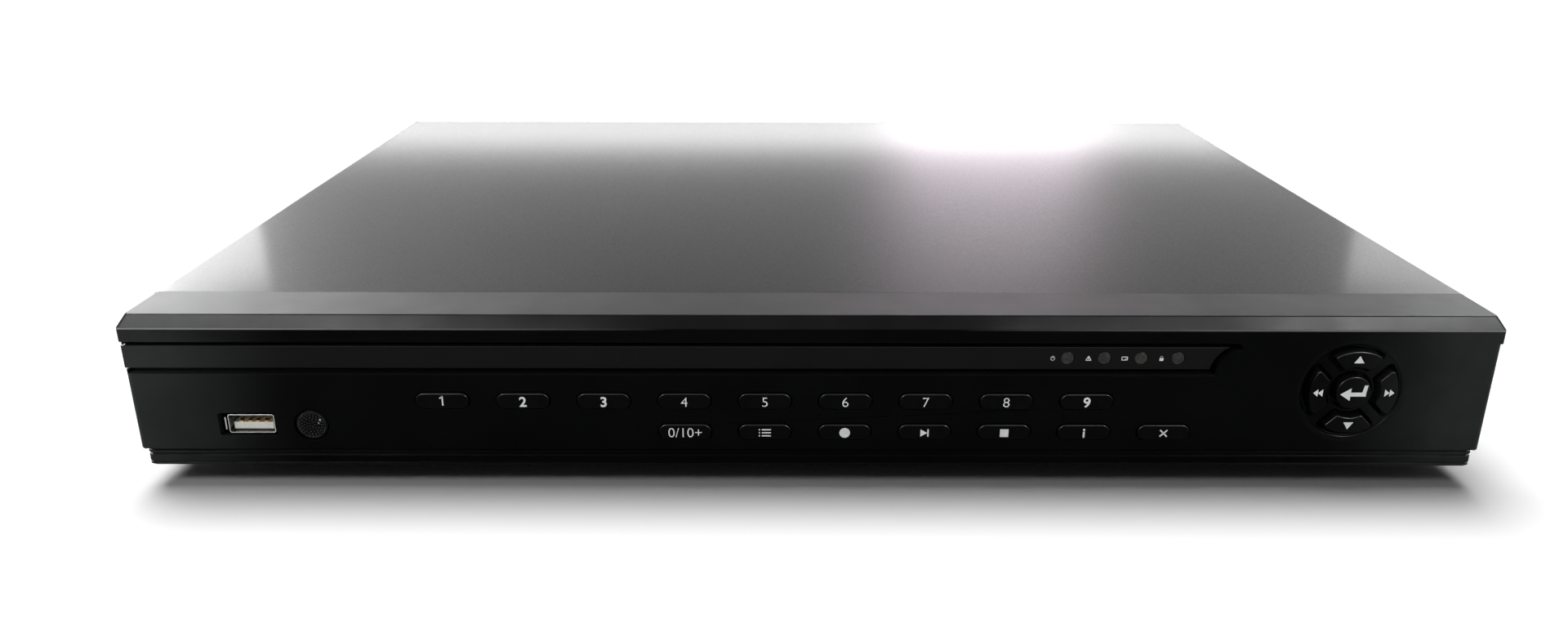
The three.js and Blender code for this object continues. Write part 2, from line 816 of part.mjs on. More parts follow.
// Fan with its frame, motor seat and turning blades
function makeFanFrame() {
  const ys = [fanFront, rearInner];
  const frame = block(span(fanX, fanSize), ys, span(fanZ, fanSize));
  const centre = [fanX, fanZ];
  const cutYs = [fanFront - overrun, rearInner + overrun];
  const reach = fanSize / 2 - fanHoleInset;
  const holes = [];
  for (const sx of [-1, 1]) {
    for (const sz of [-1, 1]) {
      const place = [fanX + sx * reach, fanZ + sz * reach];
      holes.push(rod('y', place, cutYs, fanHoleRadius, smallSides));
    }
  }
  let body = cut(frame, rod('y', centre, cutYs, fanBore, largeSides), holes);
  const seatYs = [fanFront, fanFront + fanStrutDepth];
  const tubeYs = [fanFront, fanFront + fanStrutDepth + fanTubeDepth];
  body = join(
    body,
    block(span(fanX, fanSize), seatYs, span(fanZ, fanStrut)),
    block(span(fanX, fanStrut), seatYs, span(fanZ, fanSize)),
    rod('y', centre, seatYs, fanHubRadius, midSides),
    rod('y', centre, tubeYs, fanTubeRadius, smallSides),
  );
  const boreYs = [fanFront + fanStrutDepth, tubeYs[1] + overrun];
  return cut(body, rod('y', centre, boreYs, fanShaftRadius + fitGap, smallSides));
}
piece('fan_frame', makeFanFrame(), colours.plastic, 0.6, 0);

function makeFanRotor() {
  const centre = [fanX, fanZ];
  const seatBack = fanFront + fanStrutDepth;
  const hubYs = [seatBack + fitGap, seatBack + fitGap + fanHubDepth];
  const cupYs = [hubYs[0] - overrun, hubYs[1] - fanHubWall];
  const cup = cut(
    rod('y', centre, hubYs, fanHubRadius, midSides),
    rod('y', centre, cupYs, fanHubRadius - fanHubWall, midSides),
  );
  const shaft = rod('y', centre, [seatBack + fitGap, hubYs[1]], fanShaftRadius, smallSides);
  const tip = fanBore - fanTipGap;
  const root = fanHubRadius - fanHubWall / 2;
  const pitch = Math.atan2(fanBladeDepth, fanBladeChord);
  const chord = Math.hypot(fanBladeDepth, fanBladeChord) - fanBladeThickness;
  const blades = [];
  for (let i = 0; i < fanBlades; i += 1) {
    const geometry = new THREE.BoxGeometry(tip - root, fanBladeThickness, chord);
    geometry.rotateX(Math.PI / 2 - pitch);
    geometry.translate((tip + root) / 2, 0, 0);
    geometry.rotateY((2 * Math.PI * i) / fanBlades);
    geometry.translate(fanX, (hubYs[0] + hubYs[1]) / 2, fanZ);
    blades.push(solid(geometry));
  }
  const limit = rod('y', centre, hubYs, tip, largeSides);
  return join(cup, shaft, join(...blades).intersect(limit));
}
piece('fan_rotor', makeFanRotor(), colours.plastic, 0.55, 0);

// Rear sockets are spread along the wall with even gaps between them
const bncWidth = bncPitch * bncColumns;
const audioWidth = audioPitch * audioColumns;
const terminalWidth = terminalPitch * terminalWays + 2 * terminalEnd;
const housingWidth = rockerWidth + 2 * fitGap + 2 * switchWall + 2 * switchFlange;
const rearWidths = {
  bnc: bncWidth,
  audio: audioWidth,
  vga: vgaWidth,
  hdmi: hdmiWidth,
  lan: lanWidth,
  usb: usbWidth,
  terminal: terminalWidth,
  jack: jackWidth,
  power: housingWidth,
  ground: groundWidth,
};

function spreadRear() {
  const names = Object.keys(rearWidths);
  const used = names.reduce((sum, name) => sum + rearWidths[name], 0);
  const gap = (boardRight - boardLeft - used) / (names.length + 1);
  const places = {};
  let edge = boardLeft + gap;
  for (const name of names) {
    places[name] = edge + rearWidths[name] / 2;
    edge += rearWidths[name] + gap;
  }
  return places;
}
const rear = spreadRear();
const rowZ = (share) => innerFloor + innerHeight * share;
const behindWall = rearInner - fitGap;

// Video inputs: eight bayonet sockets on one block
const bncPlaces = [];
for (const share of bncRowShares) {
  for (let i = 0; i < bncColumns; i += 1) {
    bncPlaces.push([rear.bnc + bncPitch * (i - (bncColumns - 1) / 2), rowZ(share)]);
  }
}

function makeBncBlock() {
  const top = rowZ(bncRowShares[1]) + bncPitch / 2;
  let body = block(span(rear.bnc, bncWidth), [behindWall - bncDepth, behindWall], [boardTop, top]);
  const tipY = rearFace + bncReach;
  for (const place of bncPlaces) {
    const barrel = rod('y', place, [behindWall, tipY], bncRadius, midSides);
    const bore = rod('y', place, [rearFace, tipY + overrun], bncRadius - bncWall, midSides);
    const core = rod('y', place, [behindWall, tipY - bncLug], bncCore, smallSides);
    const lugX = bncRadius + bncLugRise;
    const lugY = tipY - bncLugDrop;
    const lug = rod('x', [lugY, place[1]], [place[0] - lugX, place[0] + lugX], bncLug, hexSides);
    body = join(body, cut(join(barrel, lug), bore), core);
  }
  return body;
}
piece('video_input_block', makeBncBlock(), colours.alloy, 0.35, 0.8);

// Sound sockets: four round phono sockets on one block
const audioPlaces = [];
for (const share of audioRowShares) {
  for (let i = 0; i < audioColumns; i += 1) {
    audioPlaces.push([rear.audio + audioPitch * (i - (audioColumns - 1) / 2), rowZ(share)]);
  }
}

function makeAudioBlock() {
  const top = rowZ(audioRowShares[1]) + audioPitch / 2;
  const ys = [behindWall - audioDepth, behindWall];
  let body = block(span(rear.audio, audioWidth), ys, [boardTop, top]);
  const tipY = rearFace + audioReach;
  for (const place of audioPlaces) {
    const barrel = rod('y', place, [behindWall, tipY], audioRadius, midSides);
    const bore = rod('y', place, [rearFace, tipY + overrun], audioBore, smallSides);
    body = cut(join(body, barrel), bore);
  }
  return body;
}
piece('audio_block', makeAudioBlock(), colours.plastic, 0.5, 0);

// Monitor socket: flange, slanted face shell and two nuts
const vgaZ = boardTop + vgaHeight / 2;

function vgaOutline(grow) {
  const top = vgaFaceWidth / 2 + grow;
  const low = top - vgaSlant;
  const half = vgaFaceHeight / 2 + grow;
  return [
    [rear.vga - low, vgaZ - half],
    [rear.vga + low, vgaZ - half],
    [rear.vga + top, vgaZ + half],
    [rear.vga - top, vgaZ + half],
  ];
}

function makeVgaPort() {
  const zs = span(vgaZ, vgaHeight);
  const nutX = (vgaWidth / 2 + vgaFaceWidth / 2) / 2;
  const nuts = [-nutX, nutX].map((x) => (
    rod('y', [rear.vga + x, vgaZ], [behindWall, rearFace + vgaNutReach], vgaNutRadius, hexSides)
  ));
  return join(
    block(span(rear.vga, vgaWidth), [behindWall - vgaPlate, behindWall], zs),
    block(span(rear.vga, vgaFaceWidth), [behindWall - vgaDepth, behindWall], zs),
    prism('y', vgaOutline(0), behindWall, rearFace + vgaReach),
    nuts,
  );
}
piece('monitor_port', makeVgaPort(), colours.bright, 0.35, 0.9);

// Flat sockets with a shell and a tongue, used for the digital picture and rear USB
function makeTongueSocket(x, zs, width, shellWall, tongueHalf, tongueZs) {
  const ys = [rearInner - hdmiDepth, rearFace + portReach];
  const floorY = ys[0] + usbBase;
  const shell = cut(
    block(span(x, width), ys, zs),
    block(span(x, width - 2 * shellWall), [floorY, ys[1] + overrun], [zs[0] + shellWall, zs[1] - shellWall]),
  );
  return join(shell, block([x - tongueHalf, x + tongueHalf], [floorY, rearFace], tongueZs));
}

const hdmiZs = [boardTop, boardTop + hdmiHeight];
const hdmiTongueZs = span((hdmiZs[0] + hdmiZs[1]) / 2, hdmiTongue);
const hdmiBody = makeTongueSocket(rear.hdmi, hdmiZs, hdmiWidth, hdmiShell, hdmiTongueWidth / 2, hdmiTongueZs);
piece('digital_video_port', hdmiBody, colours.bright, 0.3, 0.9);

const rearUsbZs = [boardTop, boardTop + usbHeight];
const rearTongueLow = boardTop + usbShell + tongueRise;
const rearTongueZs = [rearTongueLow, rearTongueLow + tongueThickness];
const rearUsbBody = makeTongueSocket(rear.usb, rearUsbZs, usbWidth, usbShell, tongueWidth / 2, rearTongueZs);
piece('rear_usb_port', rearUsbBody, colours.bright, 0.3, 0.9);

// Network socket with its stepped mouth
function makeLanPort() {
  const ys = [rearInner - lanDepth, rearFace + portReach];
  const shell = block(span(rear.lan, lanWidth), ys, [boardTop, boardTop + lanHeight]);
  const low = boardTop + lanMouthRise;
  const mouthYs = [ys[1] - lanMouthDepth, ys[1] + overrun];
  const mouth = block(span(rear.lan, lanMouthWidth), mouthYs, [low, low + lanMouthHeight]);
  const notch = block(span(rear.lan, lanKeyWidth), mouthYs, [low - lanKeyHeight, low]);
  return cut(shell, mouth, notch);
}
piece('network_port', makeLanPort(), colours.bright, 0.35, 0.8);

// Terminal block for the alarm and control wires
function makeTerminalBlock() {
  const ys = [rearInner - terminalDepth, rearFace + terminalReach];
  let body = block(span(rear.terminal, terminalWidth), ys, [boardTop, boardTop + terminalHeight]);
  const holeLow = boardTop + terminalHoleRise;
  for (let i = 0; i < terminalWays; i += 1) {
    const x = rear.terminal + terminalPitch * (i - (terminalWays - 1) / 2);
    const hole = block(span(x, terminalHole), [rearFace, ys[1] + overrun], [holeLow, holeLow + terminalHole]);
    const screwZ = boardTop + terminalHeight - 2 * terminalScrew;
    const screwYs = [rearFace + terminalReach / 2, ys[1] + overrun];
    const screw = rod('y', [x, screwZ], screwYs, terminalScrew, smallSides);
    body = cut(body, hole, screw);
  }
  return body;
}
piece('terminal_block', makeTerminalBlock(), colours.board, 0.5, 0);

// Power inlet: body, round mouth and centre pin
function makePowerJack() {
  const ys = [rearInner - jackDepth, rearFace + jackReach];
  const centre = [rear.jack, boardTop + jackHeight / 2];
  const mouthYs = [ys[1] - jackBoreDepth, ys[1] + overrun];
  const shell = cut(
    block(span(rear.jack, jackWidth), ys, [boardTop, boardTop + jackHeight]),
    rod('y', centre, mouthYs, jackBore, midSides),
  );
  return join(shell, rod('y', centre, [mouthYs[0] - fitGap, rearFace], jackPin, smallSides));
}
piece('power_jack', makePowerJack(), colours.plastic, 0.5, 0);

// Power switch: housing through the rear wall and a rocker on two pins
const tiltRise = rockerHalf * Math.tan(degrees(rockerTilt));
const rockerReach = Math.hypot(rockerHalf, rockerRise + tiltRise);
const pocketHalf = rockerReach + fitGap;
const pocketHalfWidth = rockerWidth / 2 + fitGap;
const flangeBack = rearFace + switchFlangeThickness;
const pivotY = flangeBack + rockerProud - rockerRise;
const pivotZ = rowZ(switchZShare) + rockerPin;

function makePowerHousing() {
  const halfX = pocketHalfWidth + switchWall;
  const halfZ = pocketHalf + switchWall;
  const flangeX = halfX + switchFlange;
  const flangeZ = halfZ + switchFlange;
  const pocketBack = pivotY - rockerReach - fitGap;
  const bodyFront = Math.min(pocketBack, rearInner - switchPocket) - switchWall;
  const xs = (half) => [rear.power - half, rear.power + half];
  const zs = (half) => [pivotZ - half, pivotZ + half];
  const body = join(
    block(xs(halfX), [bodyFront, rearFace], zs(halfZ)),
    block(xs(flangeX), [rearFace, flangeBack], zs(flangeZ)),
  );
  const pocket = block(xs(pocketHalfWidth), [pocketBack, flangeBack + overrun], zs(pocketHalf));
  const holeReach = pocketHalfWidth + rockerPinReach;
  const pinHole = rod('x', [pivotY, pivotZ], xs(holeReach), rockerPin + fitGap, smallSides);
  return cut(body, pocket, pinHole);
}
piece('power_switch_housing', makePowerHousing(), colours.plastic, 0.5, 0);

function makeRocker() {
  const tip = rockerRise + tiltRise;
  const profile = [
    [rockerRise, 0],
    [tip, rockerHalf],
    [0, rockerHalf],
    [-rockerKeel, rockerKeelHalf],
    [-rockerKeel, -rockerKeelHalf],
    [0, -rockerHalf],
    [tip, -rockerHalf],
  ].reverse();
  const lean = degrees(rockerTilt);
  const leant = profile.map(([y, z]) => [
    pivotY + y * Math.cos(lean) - z * Math.sin(lean),
    pivotZ + y * Math.sin(lean) + z * Math.cos(lean),
  ]);
  const pinHalf = rockerWidth / 2 + rockerPinReach;
  return join(
    prism('x', leant, ...span(rear.power, rockerWidth)),
    rod('x', [pivotY, pivotZ], [rear.power - pinHalf, rear.power + pinHalf], rockerPin, smallSides),
  );
}
piece('power_rocker', makeRocker(), colours.plastic, 0.45, 0);

// Screws: a round head with a plain shank
function makeScrew(place, seat, headRadius, headThickness, shankRadius, length) {
  return join(
    rod('y', place, [seat, seat + headThickness], headRadius, midSides),
    rod('y', place, [seat - length, seat], shankRadius, smallSides),
  );
}
const groundPlace = [rear.ground, rowZ(groundZShare)];
const groundScrew = makeScrew(
  groundPlace, rearFace, groundHead, groundHeadThickness, groundShank, groundLength,
);
piece('ground_screw', groundScrew, colours.bright, 0.3, 1);

const coverScrewZ = innerTop - lipHeight / 2;
const coverScrewPlaces = [
  [-panHalf + coverScrewInset, coverScrewZ],
  [rear.vga, coverScrewZ],
  [panHalf - coverScrewInset, coverScrewZ],
];
coverScrewPlaces.forEach((place, i) => {
  const body = makeScrew(
    place, bodyDepth, coverScrewHead, coverScrewHeadThickness, coverScrewShank, coverScrewLength,
  );
  piece(`cover_screw_${i + 1}`, body, colours.plastic, 0.4, 0.6);
});

// Steel pan: floor with turned-up sides, the drives' pads and the board's standoffs
const standPlaces = [
  [boardLeft + standInset, boardMiddle + standInset],
  [boardLeft + standInset, boardRear - bncDepth - standInset],
  [boardWingLeft + standInset, boardFront + standInset],
  [boardRight - standInset, boardFront + standInset],
  [boardRight - standInset, boardMiddle + standInset],
  [boardWingLeft + standInset, boardMiddle + standInset],
];

const footPlaces = [];
for (const x of [-halfWidth + footInsetX, halfWidth - footInsetX]) {
  for (const y of [footInsetY, bodyDepth - footInsetY]) {
    footPlaces.push([x, y]);
  }
}

// Every opening of the rear panel, from the fan at the left to the earth screw
function rearOpenings() {
  const through = [rearInner - overrun, rearFace + overrun];
  const tools = bncPlaces.map((place) => rod('y', place, through, bncRadius + fitGap, midSides));
  for (const place of audioPlaces) {
    tools.push(rod('y', place, through, audioRadius + fitGap, midSides));
  }
  tools.push(prism('y', vgaOutline(fitGap), ...through));
  const nutX = (vgaWidth / 2 + vgaFaceWidth / 2) / 2;
  for (const x of [-nutX, nutX]) {
    tools.push(rod('y', [rear.vga + x, vgaZ], through, vgaNutRadius + fitGap, hexSides));
  }
  const windows = [
    [rear.hdmi, hdmiWidth, hdmiHeight],
    [rear.lan, lanWidth, lanHeight],
    [rear.usb, usbWidth, usbHeight],
    [rear.terminal, terminalWidth, terminalHeight],
    [rear.jack, jackWidth, jackHeight],
  ];
  for (const [x, width, height] of windows) {
    const zs = [boardTop - fitGap, boardTop + height + fitGap];
    tools.push(block(span(x, width + 2 * fitGap), through, zs));
  }
  const switchWidth = 2 * (pocketHalfWidth + switchWall + fitGap);
  const switchHeight = 2 * (pocketHalf + switchWall + fitGap);
  tools.push(block(span(rear.power, switchWidth), through, span(pivotZ, switchHeight)));
  tools.push(rod('y', groundPlace, through, groundShank + fitGap, smallSides));
  for (const place of coverScrewPlaces) {
    tools.push(rod('y', place, through, coverScrewShank + fitGap, smallSides));
  }
  const ventMiddle = (rear.vga + rear.jack) / 2;
  for (let i = 0; i < ventCount; i += 1) {
    const x = ventMiddle + ventPitch * (i - (ventCount - 1) / 2);
    tools.push(block(span(x, ventWidth), through, span(rowZ(ventZShare), ventHeight)));
  }
  const mouth = rod('y', [fanX, fanZ], through, fanBore, largeSides);
  const bars = join(
    block(span(fanX, fanSize), through, span(fanZ, guardBar)),
    block(span(fanX, guardBar), through, span(fanZ, fanSize)),
    rod('y', [fanX, fanZ], through, fanHubRadius, midSides),
  );
  tools.push(mouth.subtract(bars));
  return tools;
}

function makePan() {
  const xs = [-panHalf, panHalf];
  const flangeZs = [footHeight, innerFloor + panFlange];
  let body = join(
    block(xs, [panFront, rearFace], [footHeight, innerFloor]),
    block([-panHalf, -innerHalf], [panFront, rearFace], flangeZs),
    block([innerHalf, panHalf], [panFront, rearFace], flangeZs),
  );
  for (const x of driveX) {
    for (const side of [-1, 1]) {
      for (const y of [driveFront + padSize, driveRear - padSize]) {
        const padCentre = x + side * (driveWidth / 2 - padSize);
        body = join(body, block(span(padCentre, padSize), span(y, padSize), [footHeight, driveZ]));
      }
    }
  }
  for (const place of standPlaces) {
    body = join(body, rod('z', place, [footHeight, boardZ], standRadius, smallSides));
  }
  return body;
}
piece('chassis_pan', makePan(), colours.steel, 0.45, 0.9);

// Front wall and rear panel: flat sheets that stand on the pan's floor between its sides
const wallXs = [-innerHalf + fitGap, innerHalf - fitGap];
const wallZs = [innerFloor, wallTop];

function makeFrontWall() {
  const wallYs = [panFront - overrun, innerFront + overrun];
  const tools = [];
  for (const x of clips) {
    const clipXs = span(x, clipWidth + 2 * fitGap);
    tools.push(block(clipXs, wallYs, [topClipZ - fitGap, topClipZ + clipThickness + fitGap]));
    const lowZs = [bottomClipZ - fitGap, bottomClipZ + clipThickness + fitGap];
    tools.push(block(clipXs, wallYs, lowZs));
  }
  const windowXs = span(ribbonX, ribbonWidth + 2 * plugMargin);
  tools.push(block(windowXs, wallYs, span(ribbonZ, plugHeight + 2 * plugMargin)));
  return cut(block(wallXs, [panFront, innerFront], wallZs), tools);
}
piece('front_wall', makeFrontWall(), colours.steel, 0.45, 0.9);

const rearSheet = block(wallXs, [rearInner, rearFace], wallZs);
piece('rear_panel', cut(rearSheet, rearOpenings()), colours.steel, 0.45, 0.9);

// Folded cover: top, two sides with air slots and a lip over the rear wall
function makeCover() {
  const low = footHeight + coverBottomRise;
  const inner = coverHalf - sheet;
  const profile = [
    [-coverHalf, low],
    [-inner, low],
    [-inner, innerTop],
    [inner, innerTop],
    [inner, low],
    [coverHalf, low],
    [coverHalf, coverTop - coverEdge],
    [coverHalf - coverEdge, coverTop],
    [-coverHalf + coverEdge, coverTop],
    [-coverHalf, coverTop - coverEdge],
  ];
  const lip = block([-coverHalf, coverHalf], [lipFront, bodyDepth], [innerTop - lipHeight, innerTop]);
  const body = join(prism('y', profile, panFront, bodyDepth), lip);
  const tools = [];
  const slotTop = coverTop - sideSlotTopDrop;
  for (let i = 0; i < sideSlotCount; i += 1) {
    const ys = span(panFront + sideSlotStart + sideSlotPitch * i, sideSlotWidth);
    const zs = [slotTop - sideSlotHeight, slotTop];
    tools.push(block([-coverHalf - overrun, coverHalf + overrun], ys, zs));
  }
  for (const place of coverScrewPlaces) {
    const through = [lipFront - overrun, bodyDepth + overrun];
    tools.push(rod('y', place, through, coverScrewShank + fitGap, smallSides));
  }
  return cut(body, tools);
}
piece('top_cover', makeCover(), colours.coated, 0.6, 0.3);

// Rubber feet with a hollow for their screw
footPlaces.forEach((place, i) => {
  const body = cut(
    rod('z', place, [0, footHeight], footRadius, midSides, footRadius - footTaper),
    rod('z', place, [-overrun, footRecessDepth], footRecess, smallSides),
  );
  piece(`foot_${i + 1}`, body, colours.rubber, 0.85, 0);
});

// Hard drives: cast body, stepped lid, spindle cap and the recessed board below
function makeDrive(x) {
  const xs = span(x, driveWidth);
  const ys = [driveFront, driveRear];
  const lidBase = driveZ + driveHeight - driveLid - driveHubRise;
  const lidXs = span(x, driveWidth - 2 * driveLidInset);
  const lidYs = [driveFront + driveLidInset, driveRear - driveLidInset];
  const hub = [x, (driveFront + driveRear) / 2 - driveHubRadius];
  const body = join(
    block(xs, ys, [driveZ, lidBase]),
    block(lidXs, lidYs, [lidBase, lidBase + driveLid]),
    rod('z', hub, [lidBase, driveZ + driveHeight], driveHubRadius, midSides),
  );
  const boardXs = [xs[0] + 2 * padSize, xs[1] - 2 * padSize];
  const notchXs = [xs[0] + driveNotch, xs[1] - driveNotch];
  const notchFront = driveRear - driveNotch;
  const low = driveZ - overrun;
  return cut(
    body,
    block(boardXs, [driveFront - overrun, notchFront], [low, driveZ + driveBoardDeep]),
    block(notchXs, [notchFront, driveRear + overrun], [low, driveZ + driveNotch]),
  );
}
driveX.forEach((x, i) => piece(`hard_drive_${i + 1}`, makeDrive(x), colours.alloy, 0.4, 0.8));

// Mainboard: L-shaped plate with its chips, capacitors, headers and sockets
const heatsinkX = (boardWingLeft + boardRight) / 2;
const heatsinkY = (boardFront + boardMiddle) / 2;
const chipSize = 26;
const chipHeight = 2.0;
const sataWidth = 16;
const sataDepth = 6;
const sataHeight = 8;
const memoryWidth = 11;
const memoryDepth = 14;
const memoryHeight = 1.2;
const memoryGap = 6;
const capRadius = 4;
const capHeight = 11;
const capInset = 16;
const capPitch = 13;
const capCount = 3;
const batteryRadius = 10;
const batteryHeight = 3.4;
const sataSetback = 5;
const sataInset = 24;
const fanHeaderRun = 14;
const fanHeaderSize = 5;
const fanHeaderHeight = 4;

const sataPlaces = driveX.map((x) => Math.max(x, boardLeft + sataInset));
const ribbonPlugY = boardFront + plugMargin;
const sinkZ = boardTop + chipHeight;

function makeMainboard() {
  const plate = prism('z', [
    [boardLeft, boardMiddle],
    [boardWingLeft, boardMiddle],
    [boardWingLeft, boardFront],
    [boardRight, boardFront],
    [boardRight, boardRear],
    [boardLeft, boardRear],
  ], boardZ, boardTop);
  const onBoard = (x, y, width, depth, height) => (
    block(span(x, width), span(y, depth), [boardTop, boardTop + height])
  );
  const parts = [onBoard(heatsinkX, heatsinkY, chipSize, chipSize, chipHeight)];
  for (const side of [-1, 1]) {
    const y = heatsinkY + side * (heatsinkSize / 2 + memoryGap + memoryDepth / 2);
    for (const shift of [-1, 1]) {
      parts.push(onBoard(heatsinkX + shift * memoryDepth, y, memoryWidth, memoryDepth, memoryHeight));
    }
  }
  for (const x of sataPlaces) {
    const y = boardMiddle + sataSetback + sataDepth / 2;
    parts.push(onBoard(x, y, sataWidth, sataDepth, sataHeight));
  }
  const plugXs = span(ribbonX, ribbonWidth + 2 * plugMargin);
  parts.push(block(plugXs, [ribbonPlugY, ribbonPlugY + plugDepth], [boardTop, boardTop + plugHeight]));
  for (let i = 0; i < capCount; i += 1) {
    const place = [boardRight - capInset - capPitch * i, boardMiddle + capInset];
    parts.push(rod('z', place, [boardTop, boardTop + capHeight], capRadius, smallSides));
  }
  const header = [boardLeft + fanHeaderRun, fanFront - fanHeaderRun];
  parts.push(onBoard(header[0], header[1], fanHeaderSize, fanHeaderSize, fanHeaderHeight));
  const cell = [boardWingLeft + capInset, boardMiddle - capInset];
  parts.push(rod('z', cell, [boardTop, boardTop + batteryHeight], batteryRadius, midSides));
  return join(plate, parts);
}
piece('mainboard', makeMainboard(), colours.board, 0.6, 0);

function makeHeatsink() {
  const xs = span(heatsinkX, heatsinkSize);
  const ys = span(heatsinkY, heatsinkSize);
  let body = block(xs, ys, [sinkZ, sinkZ + heatsinkBase]);
  for (let i = 0; i < heatsinkFins; i += 1) {
    const left = xs[0] + ((heatsinkSize - heatsinkFin) * i) / (heatsinkFins - 1);
    const finZs = [sinkZ + heatsinkBase, sinkZ + heatsinkHeight];
    body = join(body, block([left, left + heatsinkFin], ys, finZs));
  }
  return body;
}
piece('heatsink', makeHeatsink(), colours.alloy, 0.4, 0.9);

// Cables that stay inside the case
const cableSag = 2.5;
const driveCableWidth = 12;
const driveCableThickness = 1.6;
const driveCableDrop = 1.5;
const fanCableRadius = 0.9;
const fanCableSides = 8;
const fanCableSteps = 16;
const fanCableRise = 8;
const fanCableBend = 2;

function makeRibbon() {
  const start = frontBoardY + boardThickness + plugDepth + fitGap;
  const end = ribbonPlugY - fitGap;
  const points = bandPoints([
    [start, ribbonZ],
    [innerFront + sheet, ribbonZ],
    [(start + end) / 2, ribbonZ - cableSag],
    [end - plugMargin, ribbonZ],
    [end, ribbonZ],
  ], ribbonThickness);
  return prism('x', points, ...span(ribbonX, ribbonWidth));
}
piece('front_panel_cable', makeRibbon(), colours.cable, 0.6, 0);

const driveCableZ = driveZ + driveNotch / 2;
const plugTop = boardTop + sataHeight;

function makeDriveCable(x) {
  const low = driveCableZ;
  const start = driveRear - driveNotch + fitGap;
  const sataFront = boardMiddle + sataSetback - fitGap;
  const high = plugTop - driveCableThickness;
  const points = bandPoints([
    [start, low],
    [driveRear, low],
    [(driveRear + boardMiddle) / 2, (low + high) / 2 + driveCableDrop],
    [boardMiddle, high],
    [sataFront, high],
  ], driveCableThickness);
  return prism('x', points, ...span(x, driveCableWidth));
}
sataPlaces.forEach((x, i) => {
  piece(`drive_cable_${i + 1}`, makeDriveCable(x), colours.plastic, 0.6, 0);
});

function makeFanCable() {
  const low = boardTop + fanHeaderHeight + 2 * fitGap;
  const high = low + fanCableRise;
  const start = [fanX + fanSize / 2 + fitGap, fanFront + fanDepth / 2];
  const end = [boardLeft + fanHeaderRun, fanFront - fanHeaderRun];
  const route = new THREE.CatmullRomCurve3([
    new THREE.Vector3(start[0], start[1], high),
    new THREE.Vector3(start[0] + fanCableBend, start[1], high),
    new THREE.Vector3(start[0] + fanCableBend, end[1] + 2 * fanCableBend, high),
    new THREE.Vector3(end[0] - fanCableBend, end[1], high - fanCableBend),
    new THREE.Vector3(end[0], end[1], low + fanCableBend),
    new THREE.Vector3(end[0], end[1], low),
  ]);
  const section = new THREE.Shape(arcPoints([0, 0], fanCableRadius, 0, 360, fanCableSides)
    .slice(0, fanCableSides).map(([u, v]) => new THREE.Vector2(u, v)));
  const geometry = new THREE.ExtrudeGeometry(section, {
    steps: fanCableSteps,
    extrudePath: route,
    bevelEnabled: false,
  });
  return solid(geometry);
}
piece('fan_cable', makeFanCable(), colours.plastic, 0.6, 0);

// The middle of the footprint becomes the origin
const rearReach = Math.max(bncReach, audioReach, vgaReach, terminalReach);
recorder.position.y = -(rearFace + rearReach - padProud) / 2;
recorder.updateMatrixWorld(true);

export default recorder;
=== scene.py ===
import json
import bmesh
import bpy
import numpy as np
from mathutils import Matrix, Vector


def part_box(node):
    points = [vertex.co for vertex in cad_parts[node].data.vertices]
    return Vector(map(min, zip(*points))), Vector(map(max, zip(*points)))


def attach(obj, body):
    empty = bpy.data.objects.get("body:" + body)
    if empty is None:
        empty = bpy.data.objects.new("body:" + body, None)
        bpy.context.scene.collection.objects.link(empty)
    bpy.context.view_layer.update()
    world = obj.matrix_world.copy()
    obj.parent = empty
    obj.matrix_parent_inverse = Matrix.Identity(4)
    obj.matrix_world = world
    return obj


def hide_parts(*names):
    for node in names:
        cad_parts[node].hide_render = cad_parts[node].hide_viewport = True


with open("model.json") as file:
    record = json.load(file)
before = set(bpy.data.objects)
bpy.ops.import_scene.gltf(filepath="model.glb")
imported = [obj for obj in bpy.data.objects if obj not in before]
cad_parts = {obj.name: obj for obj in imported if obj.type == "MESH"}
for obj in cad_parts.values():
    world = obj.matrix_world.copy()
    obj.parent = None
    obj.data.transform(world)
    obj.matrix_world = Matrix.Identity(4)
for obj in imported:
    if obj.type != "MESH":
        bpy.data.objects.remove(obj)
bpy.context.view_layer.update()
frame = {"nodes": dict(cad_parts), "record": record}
MM = 0.001

# Camera: it stands a forearm's length from the front, a little to the left of its middle,
# and looks down on the recorder by about twenty degrees.
camera_place = (-9.18 * MM, -442.13 * MM, 162.3 * MM)
camera_pitch, camera_yaw, camera_roll = np.radians((20.2, 0.25, 0.19))
camera_lens = 26.92


def put_in(name, data):
    """An object for some data, linked into the scene."""
    made = bpy.data.objects.new(name, data)
    bpy.context.scene.collection.objects.link(made)
    return made


def stand(made, right, up, away, spot):
    """Puts an object at a spot, with its x, y and z along three unit directions."""
    pose = np.eye(4)
    pose[:3, :3] = np.stack((right, up, away), axis=1)
    pose[:3, 3] = spot
    made.matrix_world = Matrix(pose.tolist())


ahead = np.array((
    np.sin(camera_yaw) * np.cos(camera_pitch),
    np.cos(camera_yaw) * np.cos(camera_pitch),
    -np.sin(camera_pitch),
))
level = np.array((np.cos(camera_yaw), -np.sin(camera_yaw), 0))
upright = np.cross(level, ahead)
camera = put_in("camera", bpy.data.cameras.new("camera"))
camera.data.lens = camera_lens
stand(camera, np.cos(camera_roll) * level + np.sin(camera_roll) * upright,
      np.cos(camera_roll) * upright - np.sin(camera_roll) * level, -ahead, camera_place)
bpy.context.scene.camera = camera
bpy.context.scene.view_settings.view_transform = "Standard"

